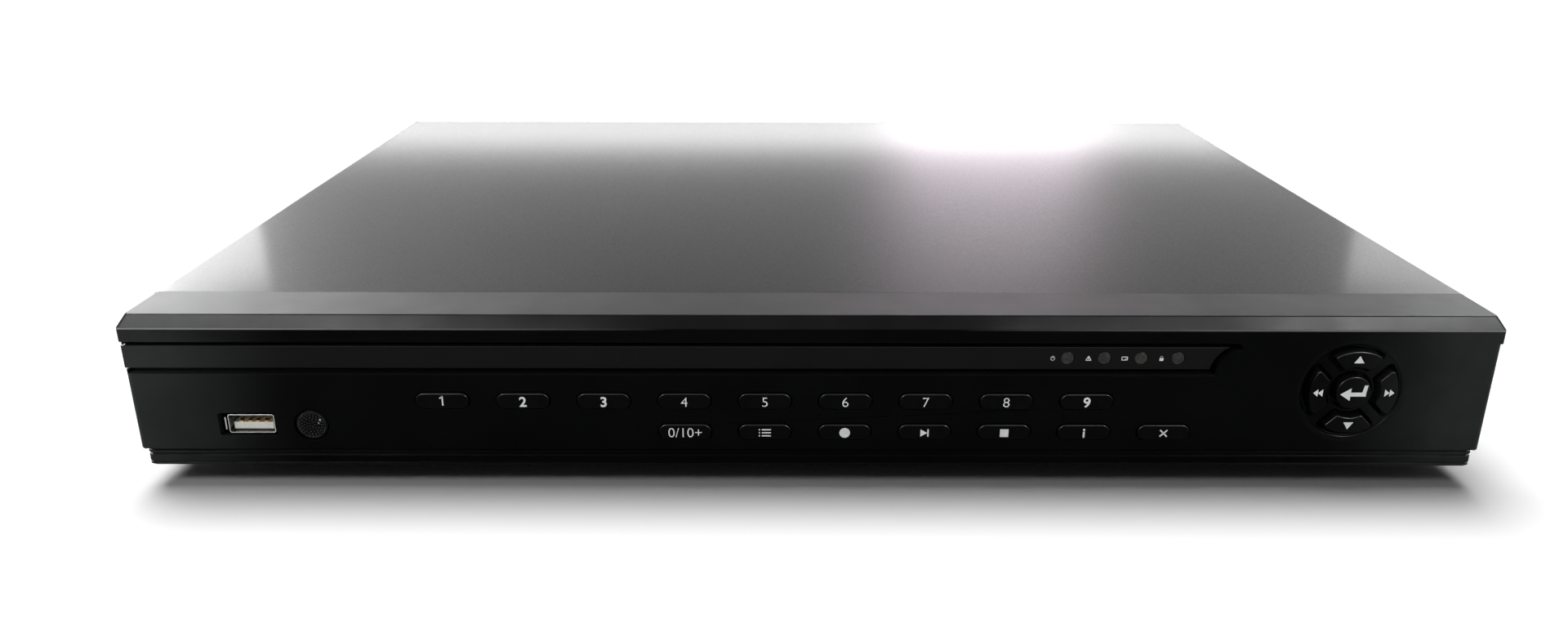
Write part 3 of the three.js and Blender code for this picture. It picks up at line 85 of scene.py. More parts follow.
# Studio: a white room lit by a soft ceiling a little behind the recorder, over a pale paper floor.
# All lamps but the floor lamp show only in the gloss, along the front's ends and over the cover.
# Each lamp has its place, the spot it faces, its width and height, and its power.
ceiling_light, wall_light = 9.4, 0.05
ceiling_axis = (-0.13, 0.32, 0.938)
ceiling_edge = (0.86, 1.0)
white_light = (1, 1, 1, 1)
floor_half = 6.0
floor_colour, floor_roughness = (0.93, 0.93, 0.93, 1), 0.9
lamps = {
    "left_lamp": ((-0.62, -0.9, 0.68), (-0.15, -0.14, 0.05), (0.42, 0.14), 3.5),
    "left_fill": ((-0.38, -1.02, 0.7), (-0.08, -0.14, 0.05), (0.3, 0.14), 0.95),
    "right_lamp": ((0.74, -0.84, 0.69), (0.15, -0.14, 0.05), (0.42, 0.14), 6.7),
    "right_fill": ((0.42, -1.0, 0.7), (0.08, -0.14, 0.05), (0.3, 0.14), 1.15),
    "left_edge": ((-0.6, -0.95, 0.27), (-0.15, -0.14, 0.05), (0.5, 0.05), 1.2),
    "right_edge": ((0.68, -0.9, 0.27), (0.15, -0.14, 0.05), (0.5, 0.05), 1.2),
    "side_panel": ((-1.1, 1.2, 0.5), (-0.15, 0, 0.05), (0.3, 0.6), 30.0),
    "high_panel": ((-0.6, 1.05, 0.85), (-0.1, 0, 0.05), (0.4, 0.3), 7.0),
    "far_panel": ((0, 2.6, 0.545), (0, 0.14, 0.05), (3.4, 0.08), 22.0),
    "right_panel": ((1.35, 1.3, 0.46), (0.15, 0, 0.05), (0.3, 0.5), 14.0),
    "left_glow": ((-1.02, 1.4, 0.38), (-0.15, 0, 0.05), (0.3, 0.4), 6.0),
    "right_glow": ((1.1, 1.4, 0.38), (0.15, 0, 0.05), (0.3, 0.4), 3.4),
    "floor_lamp": ((-0.6, -0.55, 0.62), (-0.1, -0.2, 0), (0.3, 0.2), 1.35),
    "rear_lamp": ((0.33, 1.4, 0.18), (0.09, 0.05, 0.05), (0.3, 0.08), 7.5),
}
lamp_colours = {"rear_lamp": (1.0, 0.86, 0.97)}


def add_node(tree, kind, inputs=None, **settings):
    """Adds a node, sets its properties, and gives each named input a value or a link."""
    made = tree.nodes.new(kind)
    for name, value in settings.items():
        setattr(made, name, value)
    for name, value in (inputs or {}).items():
        if isinstance(value, bpy.types.NodeSocket):
            tree.links.new(value, made.inputs[name])
        else:
            made.inputs[name].default_value = value
    return made


def maths(tree, operation, *values, **settings):
    """Output of a maths node: the operation on one or two numbers or links."""
    made = add_node(tree, "ShaderNodeMath", dict(enumerate(values)), operation=operation, **settings)
    return made.outputs[0]


def ramp(tree, value, low, high, start=0.0, end=1.0, kind="LINEAR"):
    """Output of a map range node: the value carried from low and high to start and end, and held there."""
    return add_node(tree, "ShaderNodeMapRange", {0: value, 1: low, 2: high, 3: start, 4: end},
                    interpolation_type=kind).outputs[0]


room = bpy.data.worlds.new("room")
bpy.context.scene.world = room
room.use_nodes = True
tree = room.node_tree
tree.nodes.clear()
path = add_node(tree, "ShaderNodeLightPath").outputs
seen = maths(tree, "ADD", path["Is Camera Ray"], path["Is Glossy Ray"])
seen = maths(tree, "ADD", seen, path["Is Transmission Ray"], use_clamp=True)
direction = add_node(tree, "ShaderNodeTexCoord").outputs["Generated"]
height = add_node(tree, "ShaderNodeVectorMath", {0: direction, 1: ceiling_axis}, operation="DOT_PRODUCT")
ceiling = ramp(tree, height.outputs["Value"], *ceiling_edge, wall_light, ceiling_light, "SMOOTHSTEP")
lit = add_node(tree, "ShaderNodeBackground", {"Color": white_light, "Strength": ceiling})
plain_room = add_node(tree, "ShaderNodeBackground", {"Color": white_light, "Strength": 1.0})
both = add_node(tree, "ShaderNodeMixShader", {0: seen, 1: lit.outputs[0], 2: plain_room.outputs[0]})
add_node(tree, "ShaderNodeOutputWorld", {"Surface": both.outputs[0]})

for name, (spot, aim, size, power) in lamps.items():
    light = bpy.data.lights.new(name, "AREA")
    light.shape = "RECTANGLE"
    light.size, light.size_y = size
    light.energy = power
    light.color = lamp_colours.get(name, white_light[:3])
    away = np.subtract(spot, aim)
    away /= np.linalg.norm(away)
    side = np.cross((0, 0, 1), away)
    side /= np.linalg.norm(side)
    holder = put_in(name, light)
    stand(holder, side, np.cross(away, side), away, spot)
    holder.visible_camera = False
    holder.visible_diffuse = name == "floor_lamp"

floor_mesh = bpy.data.meshes.new("floor")
corners = np.array(((-1, -1, 0), (1, -1, 0), (1, 1, 0), (-1, 1, 0))) * floor_half
floor_mesh.from_pydata(corners.tolist(), [], [(0, 1, 2, 3)])
floor = put_in("floor", floor_mesh)
paper = bpy.data.materials.new("pale_paper")
paper.use_nodes = True
paper_shader = paper.node_tree.nodes["Principled BSDF"]
paper_shader.inputs["Base Color"].default_value = floor_colour
paper_shader.inputs["Roughness"].default_value = floor_roughness
paper_shader.inputs["Specular IOR Level"].default_value = 0.0
floor_mesh.materials.append(paper)


# Front moulding: one black injection moulding with a brow, a key panel, a recess for the strip,
# a dished round for the arrow keys and a ribbed plinth. It clips to the steel case behind it.
AXES = {"x": (1, 2, 0), "y": (0, 2, 1), "z": (0, 1, 2)}


def arc(centre, radius, first, last, steps=12):
    """Points of a round line: centre plus radius times the cosine and sine of even angles in degrees."""
    angle = np.radians(np.linspace(first, last, steps))
    return np.asarray(centre) + radius * np.stack((np.cos(angle), np.sin(angle)), axis=-1)


def spot_at(centre, radius, angle):
    """One point of that round line."""
    return arc(centre, radius, angle, angle, 1)[0]


def circle(centre, radius, steps, first=0):
    """Even points of a full round, from the angle first on."""
    return arc(centre, radius, first, first + 360 * (1 - 1 / steps), steps)


def rounded(corners, radius, steps=5):
    """Closed outline with an arc at each corner: its centre is on the bisector, radius / sin(half the
    corner's angle) away, and it turns by the half turn less that angle."""
    corners = np.asarray(corners, float)
    radius = np.broadcast_to(radius, len(corners))[:, None]
    back = np.roll(corners, 1, axis=0) - corners
    on = np.roll(corners, -1, axis=0) - corners
    back /= np.linalg.norm(back, axis=1, keepdims=True)
    on /= np.linalg.norm(on, axis=1, keepdims=True)
    half = np.arccos(np.clip((back * on).sum(1, keepdims=True), -1, 1)) / 2
    middle = back + on
    middle /= np.linalg.norm(middle, axis=1, keepdims=True)
    centre = corners + middle * radius / np.sin(half)
    start = corners + back * radius / np.tan(half) - centre
    side = -np.sign(on[:, :1] * back[:, 1:] - on[:, 1:] * back[:, :1])
    angle = np.arctan2(start[:, 1:], start[:, :1]) - side * (np.pi - 2 * half) * np.linspace(0, 1, steps)
    points = centre[:, None] + radius[:, None] * np.stack((np.cos(angle), np.sin(angle)), axis=-1)
    return points.reshape(-1, 2)


def box_outline(centre, width, height, radius, steps=5):
    """Rectangle about a centre with rounded corners. A radius of half its height makes it a pill."""
    half = np.array((width, height)) / 2
    return rounded(np.asarray(centre) + half * ((1, 1), (-1, 1), (-1, -1), (1, -1)), radius, steps)


def inset(outline, distance):
    """Moves each point of an anticlockwise outline inwards, along the sum of its two edges' normals."""
    edge = np.roll(outline, -1, axis=0) - outline
    normal = np.stack((-edge[:, 1], edge[:, 0]), axis=1)
    normal /= np.linalg.norm(normal, axis=1, keepdims=True)
    before = np.roll(normal, 1, axis=0)
    both = (normal + before) / (1 + (normal * before).sum(1, keepdims=True))
    return outline + distance * both


def new_piece(name, points, faces):
    """An object at the origin from points and faces, with its faces turned outwards."""
    mesh = bpy.data.meshes.new(name)
    mesh.from_pydata(np.asarray(points, float).tolist(), [], faces)
    form = bmesh.new()
    form.from_mesh(mesh)
    bmesh.ops.recalc_face_normals(form, faces=form.faces)
    form.to_mesh(mesh)
    form.free()
    return put_in(name, mesh)


def shell(name, rings):
    """Closed skin through rings of points: four-sided faces from each ring to the next, and a flat face
    on the first and the last."""
    rings = np.asarray(rings)
    count, size = rings.shape[:2]
    index = np.arange(count * size).reshape(count, size)
    here, beside = index[:-1], np.roll(index, -1, axis=1)[:-1]
    quads = np.stack((here, beside, beside + size, here + size), axis=-1).reshape(-1, 4)
    return new_piece(name, rings.reshape(-1, 3), [*quads.tolist(), index[0].tolist(), index[-1].tolist()])


def stacked(name, outlines, heights, axis):
    """Skin through outlines that each stand at their own height along an axis."""
    outlines = np.asarray(outlines)
    rings = np.zeros((*outlines.shape[:2], 3))
    u, v, w = AXES[axis]
    rings[..., u], rings[..., v] = outlines[..., 0], outlines[..., 1]
    rings[..., w] = np.asarray(heights)[:, None]
    return shell(name, rings)


def slab(name, outline, axis, low, high, rim=0.1 * MM):
    """Plate: an anticlockwise outline carried from low to high, drawn in by a quarter round at each rim."""
    bend = np.linspace(0, np.pi / 2, 4)
    drawn, rise = rim * (1 - np.sin(bend)), rim * (1 - np.cos(bend))
    insets = np.concatenate((drawn, drawn[::-1]))
    heights = np.concatenate((low + rise, high - rise[::-1]))
    return stacked(name, [inset(outline, d) for d in insets], heights, axis)


def prism(name, outline, axis, low, high):
    """Plate with sharp rims, used as a tool that cuts."""
    return stacked(name, [outline, outline], (low, high), axis)


def turned(name, profile, centre, axis, steps=48):
    """Turned skin: each radius and height of the profile carried round an axis through the centre."""
    profile = np.asarray(profile, float)
    ring = circle((0, 0), 1, steps)
    return stacked(name, np.asarray(centre) + profile[:, :1, None] * ring, profile[:, 1], axis)


def rod(name, radius, ends, centre, steps=24, axis="y"):
    """Round bar between two heights."""
    return turned(name, [(radius, end) for end in ends], centre, axis, steps)


def fuse(name, *parts):
    """Puts closed parts into one object."""
    form = bmesh.new()
    for part in parts:
        form.from_mesh(part.data)
        bpy.data.objects.remove(part)
    mesh = bpy.data.meshes.new(name)
    form.to_mesh(mesh)
    form.free()
    return put_in(name, mesh)


def settle(piece):
    """Replaces a piece's mesh by what its modifiers make of it."""
    made = bpy.data.meshes.new_from_object(piece.evaluated_get(bpy.context.evaluated_depsgraph_get()))
    piece.modifiers.clear()
    piece.data = made
    return piece


def carve(body, *tools):
    """Cuts closed tools that don't touch each other out of a body."""
    tool = fuse("tool", *tools)
    cut = body.modifiers.new("cut", "BOOLEAN")
    cut.operation = "DIFFERENCE"
    cut.solver = "MANIFOLD"
    cut.object = tool
    settle(body)
    bpy.data.objects.remove(tool)
    return body


def soften(piece, width, sharpest=40):
    """Rounds every edge that turns by more than the given angle."""
    bevel = piece.modifiers.new("edges", "BEVEL")
    bevel.limit_method = "ANGLE"
    bevel.angle_limit = np.radians(sharpest)
    bevel.width = width
    bevel.segments = 2
    bevel.use_clamp_overlap = False
    return settle(piece)


def fit(piece, material, body, slot, *nodes, crease=38):
    """Shades a finished mesh, and ties it to its body and the nodes that it stands for. Its slot is not used.
    """
    piece.data.materials.clear()
    piece.data.materials.append(material)
    piece.data.polygons.foreach_set("use_smooth", np.ones(len(piece.data.polygons), bool))
    piece.data.set_sharp_from_angle(angle=np.radians(crease))
    weigh = piece.modifiers.new("shading", "WEIGHTED_NORMAL")
    weigh.keep_sharp = True
    settle(piece)
    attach(piece, body)
    if nodes:
        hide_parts(*nodes)
    return piece


front_low, front_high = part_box("front_bezel")
face_y = front_low.y
half_front = front_high.x
front_bottom, front_top = front_low.z, front_high.z
front_depth = 20.8 * MM
front_wall = 2.4 * MM
chamfer_depth, chamfer_height = 2.0 * MM, 3.5 * MM
brow_height = 4.0 * MM
recess_depth, recess_wall = 3.2 * MM, 2.0 * MM
recess_end_wall, strip_gap = 0.9 * MM, 0.3 * MM
recess_share, scoop_share, recess_corner_share = 0.291, 0.8086, 0.1702
scoop_inset = 71 * MM
plinth_top = front_bottom + 5.7 * MM
plinth, plinth_inset = 1.0 * MM, 1.5 * MM
plinth_edge = 0.5 * MM
brow_corner, panel_corner = 1.0 * MM, 2.5 * MM
shadow_line = (1.1 * MM, 0.6 * MM)
upper_groove = (1.7 * MM, 0.7 * MM, 0.6 * MM)
lower_groove = (0.8 * MM, 0.5 * MM, 0.4 * MM)
profile_edge = 0.12 * MM
chamfer_round, chamfer_low_round = 0.45 * MM, 0.9 * MM
end_slope = 2.2 * MM
moulding_edge = 0.12 * MM
corner_steps, round_steps = 9, 5
overrun = 1 * MM
recorder = "recorder"

chamfer_z = front_top - chamfer_height
brow_z = chamfer_z - brow_height
ledge_z = brow_z - (brow_z - plinth_top) * recess_share
recess_height = brow_z - ledge_z
scoop_radius = recess_height * scoop_share
recess_corner = recess_height * recess_corner_share
scoop_x = half_front - scoop_inset


def plan_rings(profile, back):
    """Rings of the moulding: at each height a front line with two rounded corners, and a straight back.
    The profile's columns are the setback, the height, the half width and the corner's radius."""
    setback, _, half, corner = (column[:, None] for column in profile.T)
    left = np.radians(np.linspace(180, 270, corner_steps))
    far = left + np.pi / 2
    y = face_y + setback + corner
    x_left, x_far = -half + corner * (1 + np.cos(left)), half - corner * (1 - np.cos(far))
    x = np.concatenate((half, -half, x_left, x_far), axis=1)
    ends = np.full_like(half, back)
    y = np.concatenate((ends, ends, y + corner * np.sin(left), y + corner * np.sin(far)), axis=1)
    return np.stack((x, y), axis=-1)


shadow_bottom = plinth_top - shadow_line[0]
groove_top = plinth_top - upper_groove[0]
groove_bottom = groove_top - upper_groove[1]
low_groove_bottom = front_bottom + lower_groove[0]
low_groove_top = low_groove_bottom + lower_groove[1]
face_line = [
    (front_depth, front_bottom),
    (plinth + plinth_edge, front_bottom),
    (plinth, front_bottom + plinth_edge),
    (plinth, low_groove_bottom),
    (plinth + lower_groove[2], low_groove_bottom),
    (plinth + lower_groove[2], low_groove_top),
    (plinth, low_groove_top),
    (plinth, groove_bottom),
    (plinth + upper_groove[2], groove_bottom),
    (plinth + upper_groove[2], groove_top),
    (plinth, groove_top),
    (plinth, shadow_bottom),
    (plinth + shadow_line[1], shadow_bottom),
    (plinth + shadow_line[1], plinth_top),
    (0, plinth_top),
    (0, chamfer_z),
    (chamfer_depth, front_top),
    (front_depth, front_top),
]
rounds = np.full(len(face_line), profile_edge)
rounds[-3:-1] = (chamfer_low_round, chamfer_round)
line = rounded(face_line, rounds)[round_steps:-round_steps]
low_part = (line[:, 1] < plinth_top + profile_edge / 2) & (line[:, 0] > profile_edge)
half = np.where(low_part, half_front - plinth_inset - (line[:, 0] - plinth), half_front)
half -= end_slope * np.clip((line[:, 1] - chamfer_z) / chamfer_height, 0, 1)
corner = np.where(line[:, 0] > profile_edge, panel_corner - plinth, panel_corner)
corner = np.where(line[:, 1] > brow_z, brow_corner, corner)
profile = np.column_stack((line, half, corner))
change = np.searchsorted(line[:, 1] > brow_z, True)
ledges = [(0, brow_z, half_front, panel_corner), (0, brow_z, half_front, brow_corner)]
profile = np.insert(profile, change, ledges, axis=0)
moulding = stacked("front_moulding", plan_rings(profile, face_y + front_depth), profile[:, 1], "z")

back = face_y + front_depth + overrun
inner = half_front - front_wall
roof, sill = front_top - front_wall, front_bottom + front_wall
under_recess = ledge_z - recess_wall
recess_back = face_y + recess_depth + recess_wall
pad_low, pad_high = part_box("enter_key")
pad_spot = np.array(((pad_low.x + pad_high.x) / 2, (pad_low.z + pad_high.z) / 2))
pad_boss_radius, pad_floor = 16.6 * MM, 0.9 * MM
boss_back = face_y + pad_floor + front_wall


def block(name, xs, ys, zs):
    """Rectangular tool between its limits on each axis."""
    outline = np.array(((xs[0], ys[0]), (xs[1], ys[0]), (xs[1], ys[1]), (xs[0], ys[1])))
    return prism(name, outline, "z", *zs)


def pad_boss():
    """The solid round that the hollow leaves behind the dish."""
    return rod("boss", pad_boss_radius, (face_y, boss_back), pad_spot, 48)


carve(moulding, block("hollow", (-inner, inner), (recess_back, back), (sill, roof)))
hollow_back = recess_back + overrun
hollows = [
    ((-inner, inner), (face_y + front_wall + plinth, hollow_back), (sill, under_recess)),
    ((-inner, inner), (face_y + front_wall, hollow_back), (plinth_top + front_wall, under_recess)),
    ((scoop_x + front_wall, inner), (face_y + front_wall, hollow_back), (under_recess - overrun, roof)),
]
for limits in hollows:
    carve(moulding, carve(block("hollow", *limits), pad_boss()))

corner_x = scoop_x - 1.5 * recess_corner
bulge_end = np.degrees(np.arccos((corner_x + recess_corner - scoop_x) / scoop_radius))
recess_end = -half_front + recess_end_wall
recess_line = np.concatenate((
    ((recess_end, ledge_z),),
    arc((scoop_x, ledge_z), scoop_radius, 180, bulge_end, 24),
    arc((corner_x, brow_z - recess_corner), recess_corner, 0, 90, 10),
    ((recess_end, brow_z),),
))
carve(moulding, prism("recess", recess_line, "y", face_y - overrun, face_y + recess_depth))
strip_low, strip_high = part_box("indicator_strip")
carve(moulding, block("end_slot", (-half_front - overrun, recess_end + overrun),
                      (face_y - overrun, face_y + recess_depth),
                      (strip_low.z - strip_gap, strip_high.z + strip_gap)))

dish_radius, dish_floor_radius = 15.1 * MM, 13.8 * MM
dish_lip, dish_round = 0.36 * MM, 0.15 * MM
dish_ring_radius, dish_ring_depth = 14.3 * MM, 0.3 * MM
carve(moulding, turned("dish", [
    (dish_radius + dish_lip, face_y - overrun),
    (dish_radius + dish_lip, face_y),
    (dish_radius + dish_lip / 3, face_y + dish_round / 3),
    (dish_radius - dish_lip / 3, face_y + dish_round),
    (dish_ring_radius, face_y + dish_ring_depth),
    (dish_ring_radius - dish_round, face_y + dish_ring_depth + dish_round / 3),
    (dish_floor_radius, face_y + dish_ring_depth + 2 * dish_round),
    (dish_floor_radius, face_y + pad_floor - dish_round),
    (dish_floor_radius - dish_round, face_y + pad_floor),
], pad_spot, "y", 128))

key_gap = 0.3 * MM
key_width, key_height = 14.75 * MM, 4.66 * MM
arc_radii = (7.6 * MM, 12.3 * MM)
spoke_half = 2.4 * MM
pad_gap = 1.1 * MM
enter_radius = 4.8 * MM
window_radius = 4.57 * MM
usb_size = (13.1 * MM, 5.7 * MM)
pocket_size, pocket_shift = (16.0 * MM, 7.0 * MM), (-0.85 * MM, 0.12 * MM)
pill_edge = 0.01 * MM
aperture_corner = 0.9 * MM
pocket_corner = 0.7 * MM
row_keys = ["key_1", "key_2", "key_3", "key_4", "key_5", "key_6", "key_7", "key_8", "key_9", "key_0",
            "menu_key", "record_key", "play_key", "stop_key", "info_key", "escape_key"]
arc_keys = {"right_key": 0, "up_key": 90, "left_key": 180, "down_key": 270}


def middle(node, axes=(0, 2)):
    """The middle of a node's box, as x and z unless other axes are named."""
    low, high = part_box(node)
    return (np.array(low) + np.array(high))[list(axes)] / 2


def sector(centre, direction, radii, offset, corner_round, steps=8):
    """Outline of a piece of a ring between two spokes, with four rounded corners. Each corner's arc
    touches a round edge and a spoke, so its centre is offset + round from the spoke's middle line."""
    inner_radius, outer_radius = radii
    far, near = outer_radius - corner_round, inner_radius + corner_round
    wide = 45 - np.degrees(np.arcsin((offset + corner_round) / far))
    narrow = 45 - np.degrees(np.arcsin((offset + corner_round) / near))
    points = np.concatenate((
        arc((0, 0), outer_radius, -wide, wide, 3 * steps),
        arc(spot_at((0, 0), far, wide), corner_round, wide, 135, steps)[1:],
        arc(spot_at((0, 0), near, narrow), corner_round, 135, 180 + narrow, steps),
        arc((0, 0), inner_radius, narrow, -narrow, 2 * steps)[1:-1],
        arc(spot_at((0, 0), near, -narrow), corner_round, 180 - narrow, 225, steps),
        arc(spot_at((0, 0), far, -wide), corner_round, 225, 360 - wide, steps)[:-1],
    ))
    cosine, sine = np.cos(np.radians(direction)), np.sin(np.radians(direction))
    return np.asarray(centre) + points @ np.array(((cosine, sine), (-sine, cosine)))


holes = []
through = (face_y - overrun, face_y + front_wall + overrun / 2)
for name in row_keys:
    outline = box_outline(middle(name), key_width + 2 * key_gap, key_height + 2 * key_gap,
                          key_height / 2 + key_gap - pill_edge, 16)
    holes.append(prism("hole", outline, "y", *through))
pad_through = (face_y - overrun, boss_back + overrun)
for angle in arc_keys.values():
    outline = sector(pad_spot, angle, (arc_radii[0] - pad_gap, arc_radii[1] + pad_gap),
                     spoke_half - pad_gap, aperture_corner)
    holes.append(prism("hole", outline, "y", *pad_through))
holes.append(rod("hole", enter_radius + pad_gap, pad_through, pad_spot, 64))
holes.append(rod("hole", window_radius + key_gap, through, middle("remote_window"), 64))
pocket = box_outline(middle("front_usb_shell") + pocket_shift, *pocket_size, pocket_corner)
holes.append(prism("hole", pocket, "y", *through))
carve(moulding, *holes)
soften(moulding, moulding_edge)


def pattern_group(name, sizes):
    """Starts a node group with an input for each size and with a Mask and a Height output."""
    made = bpy.data.node_groups.new(name, "ShaderNodeTree")
    for size, value in sizes.items():
        socket = made.interface.new_socket(size, in_out="INPUT", socket_type="NodeSocketFloat")
        socket.default_value = value
    for output in ("Mask", "Height"):
        made.interface.new_socket(output, in_out="OUTPUT", socket_type="NodeSocketFloat")
    return made, add_node(made, "NodeGroupInput"), add_node(made, "ShaderNodeTexCoord")


grain, sizes, place = pattern_group("moulded_grain", {"Grain": 4000, "Patch": 30})
patch_contrast = (0.35, 0.65)
fine = add_node(grain, "ShaderNodeTexNoise", {
    "Vector": place.outputs["Object"], "Scale": sizes.outputs["Grain"], "Detail": 2,
})
patch = add_node(grain, "ShaderNodeTexNoise", {
    "Vector": place.outputs["Object"], "Scale": sizes.outputs["Patch"], "Detail": 5, "Roughness": 0.6,
})
add_node(grain, "NodeGroupOutput", {
    "Mask": ramp(grain, patch.outputs[0], *patch_contrast), "Height": fine.outputs[0],
})

# What the front gathers and what is painted on it: dust with a painted sheen on what turns up, painted light
# that makes its ends lighter, and a painted highlight along the chamfer's lower edge.
dust_and_sheen_turn, level_turn = (0.06, 0.6), (0.7, 0.95)
film_cloud, cloud_contrast, cloud_least = 70, (0.3, 0.7), 0.7
dust_and_sheen_heights, low_dust_and_sheen = (36 * MM, 45 * MM), 0.8
lit_end_span = (140 * MM, 195 * MM)
edge_drop, edge_fade, edge_reach = 0.1 * MM, (0.32 * MM, 0.08 * MM), (40 * MM, 170 * MM)
# Painted light: the first colour lightens the front's ends, and the second paints a highlight line on the
# chamfer's lower edge.
painted_end_light = (0.034, 0.036, 0.036)
painted_edge_highlight = (0.3, 0.3, 0.29)

dust_and_light_film = bpy.data.node_groups.new("dust_and_painted_light", "ShaderNodeTree")
for output in ("Mask", "Top", "Ends", "Edge"):
    dust_and_light_film.interface.new_socket(output, in_out="OUTPUT", socket_type="NodeSocketFloat")
place = add_node(dust_and_light_film, "ShaderNodeTexCoord").outputs["Object"]
facing = add_node(dust_and_light_film, "ShaderNodeNewGeometry").outputs["Normal"]
upward = add_node(dust_and_light_film, "ShaderNodeSeparateXYZ", {0: facing}).outputs["Z"]
spot = add_node(dust_and_light_film, "ShaderNodeSeparateXYZ", {0: place}).outputs
cloud = add_node(dust_and_light_film, "ShaderNodeTexNoise", {"Vector": place, "Scale": film_cloud, "Detail": 6})
thin = ramp(dust_and_light_film, cloud.outputs[0], *cloud_contrast, cloud_least, 1.0)
# Upward surfaces take the dust colour, part dust and part a painted sheen of the light falling on them.
amount = maths(dust_and_light_film, "MULTIPLY", ramp(dust_and_light_film, upward, *dust_and_sheen_turn, kind="SMOOTHSTEP"), thin)
amount = maths(dust_and_light_film, "MULTIPLY", amount, ramp(dust_and_light_film, spot["Z"], *dust_and_sheen_heights, low_dust_and_sheen, 1.0))
aside = maths(dust_and_light_film, "ABSOLUTE", spot["X"])
lit_end_share = maths(dust_and_light_film, "MULTIPLY", ramp(dust_and_light_film, aside, *lit_end_span, kind="SMOOTHSTEP"), thin)
off_edge = maths(dust_and_light_film, "ABSOLUTE", maths(dust_and_light_film, "SUBTRACT", spot["Z"], chamfer_z - edge_drop))
edge_highlight_share = maths(dust_and_light_film, "MULTIPLY", ramp(dust_and_light_film, off_edge, *edge_fade), ramp(dust_and_light_film, aside, *edge_reach))
flat_top = ramp(dust_and_light_film, upward, *level_turn, kind="SMOOTHSTEP")
add_node(dust_and_light_film, "NodeGroupOutput", {"Mask": amount, "Top": flat_top, "Ends": lit_end_share, "Edge": edge_highlight_share})


def blend(tree, share, first, second):
    """Output of a colour mix node: from the first colour to the second by a share."""
    return add_node(tree, "ShaderNodeMix", {0: share, 6: first, 7: second}, data_type="RGBA").outputs[2]


def finish(name, pattern, sizes, colours, roughness, bump, dust_and_sheen=None, **shader_values):
    """Material: the pattern's Mask blends two colours and two roughnesses, and its Height lifts the surface.
    Its dust colour, gloss and roughness go on surfaces turned upwards: part dust, part a painted sheen where
    light falls on tops and upper edges.
    With them the front's ends are painted lighter, and the lower edge of its chamfer gets a painted
    highlight."""
    material = bpy.data.materials.new(name)
    material.use_nodes = True
    tree = material.node_tree
    sockets = tree.nodes["Principled BSDF"].inputs
    for socket, value in shader_values.items():
        sockets[socket.replace("_", " ")].default_value = value
    marks = add_node(tree, "ShaderNodeGroup", node_tree=pattern)
    for size, value in sizes.items():
        marks.inputs[size].default_value = value
    mask = marks.outputs["Mask"]
    colour = blend(tree, mask, (*colours[0], 1), (*colours[1], 1))
    gloss = ramp(tree, mask, 0, 1, *roughness)
    lift = add_node(tree, "ShaderNodeBump", {"Height": marks.outputs["Height"], "Distance": bump})
    tree.links.new(lift.outputs[0], sockets["Normal"])
    if dust_and_sheen:
        film_shares = add_node(tree, "ShaderNodeGroup", node_tree=dust_and_light_film).outputs
        for share, layer in (("Mask", dust_and_sheen[0]), ("Ends", painted_end_light), ("Edge", painted_edge_highlight)):
            colour = blend(tree, film_shares[share], colour, (*layer, 1))
        specular = sockets["Specular IOR Level"]
        tree.links.new(ramp(tree, film_shares["Mask"], 0, 1, specular.default_value, dust_and_sheen[1]), specular)
        gloss = ramp(tree, film_shares["Top"], 0, 1, gloss, dust_and_sheen[2])
    tree.links.new(gloss, sockets["Roughness"])
    tree.links.new(colour, sockets["Base Color"])
    return material


# The moulding's upward faces take a dust colour and gloss that are part dust, part painted sheen.
black_moulding = finish(
    "black_moulding", grain, {"Grain": 5200, "Patch": 45},
    ((0.0012, 0.0013, 0.0014), (0.0022, 0.0024, 0.0026)), (0.14, 0.19), 0.003 * MM,
    dust_and_sheen=((0.006, 0.0065, 0.006), 0.085, 0.6), Specular_IOR_Level=0.015,
)
fit(moulding, black_moulding, recorder, "black_moulding", "front_bezel")


# Indicator strip: a charcoal plate that lies in the recess, drawn in by a round notch at its right
# end. Four drilled holes in it take the heads of the lights, each with a small sign at its left.
notch_gap = 1.2 * MM
strip_edge = 0.2 * MM
light_low, light_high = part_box("led_light_guide")
light_z = (light_low.z + light_high.z) / 2
light_radius = 1.875 * MM
light_gap = 0.05 * MM
first_light, last_light = 70.5 * MM, 101.1 * MM
light_x = np.linspace(first_light, last_light, 4)
light_dome = 0.35 * MM
notch_radius = scoop_radius + notch_gap
strip_ends = (strip_low.y - overrun, strip_high.y + overrun)

notch = np.degrees(np.arcsin((np.array((strip_low.z, strip_high.z)) - ledge_z) / notch_radius))
strip_line = np.concatenate((
    ((strip_low.x, strip_low.z),),
    arc((scoop_x, ledge_z), notch_radius, 180 - notch[0], 180 - notch[1], 20),
    ((strip_low.x, strip_high.z),),
))
strip = slab("indicator_plate", strip_line, "y", strip_low.y, strip_high.y, strip_edge)
carve(strip, *[rod("hole", light_radius + light_gap, strip_ends, (x, light_z), 40) for x in light_x])
# The strip takes the same dust colour with its painted sheen, and the painted light at the front's ends.
charcoal = finish(
    "charcoal_strip", grain, {"Grain": 6500, "Patch": 60},
    ((0.0024, 0.0027, 0.0024), (0.0036, 0.0041, 0.0036)), (0.5, 0.6), 0.008 * MM,
    dust_and_sheen=((0.008, 0.009, 0.008), 0.2, 0.55), Specular_IOR_Level=0.05,
)
fit(strip, charcoal, recorder, "grey_strip", "indicator_strip")


def quarter_round(radius, height, width, rise, steps=6):
    """Profile of a rounded rim: a quarter ellipse from its side at height plus rise to its face at height,
    where the radius is less by the width."""
    bend = np.linspace(0, np.pi / 2, steps)
    return np.stack((radius - width * (1 - np.cos(bend)), height + rise * (1 - np.sin(bend))), axis=1)


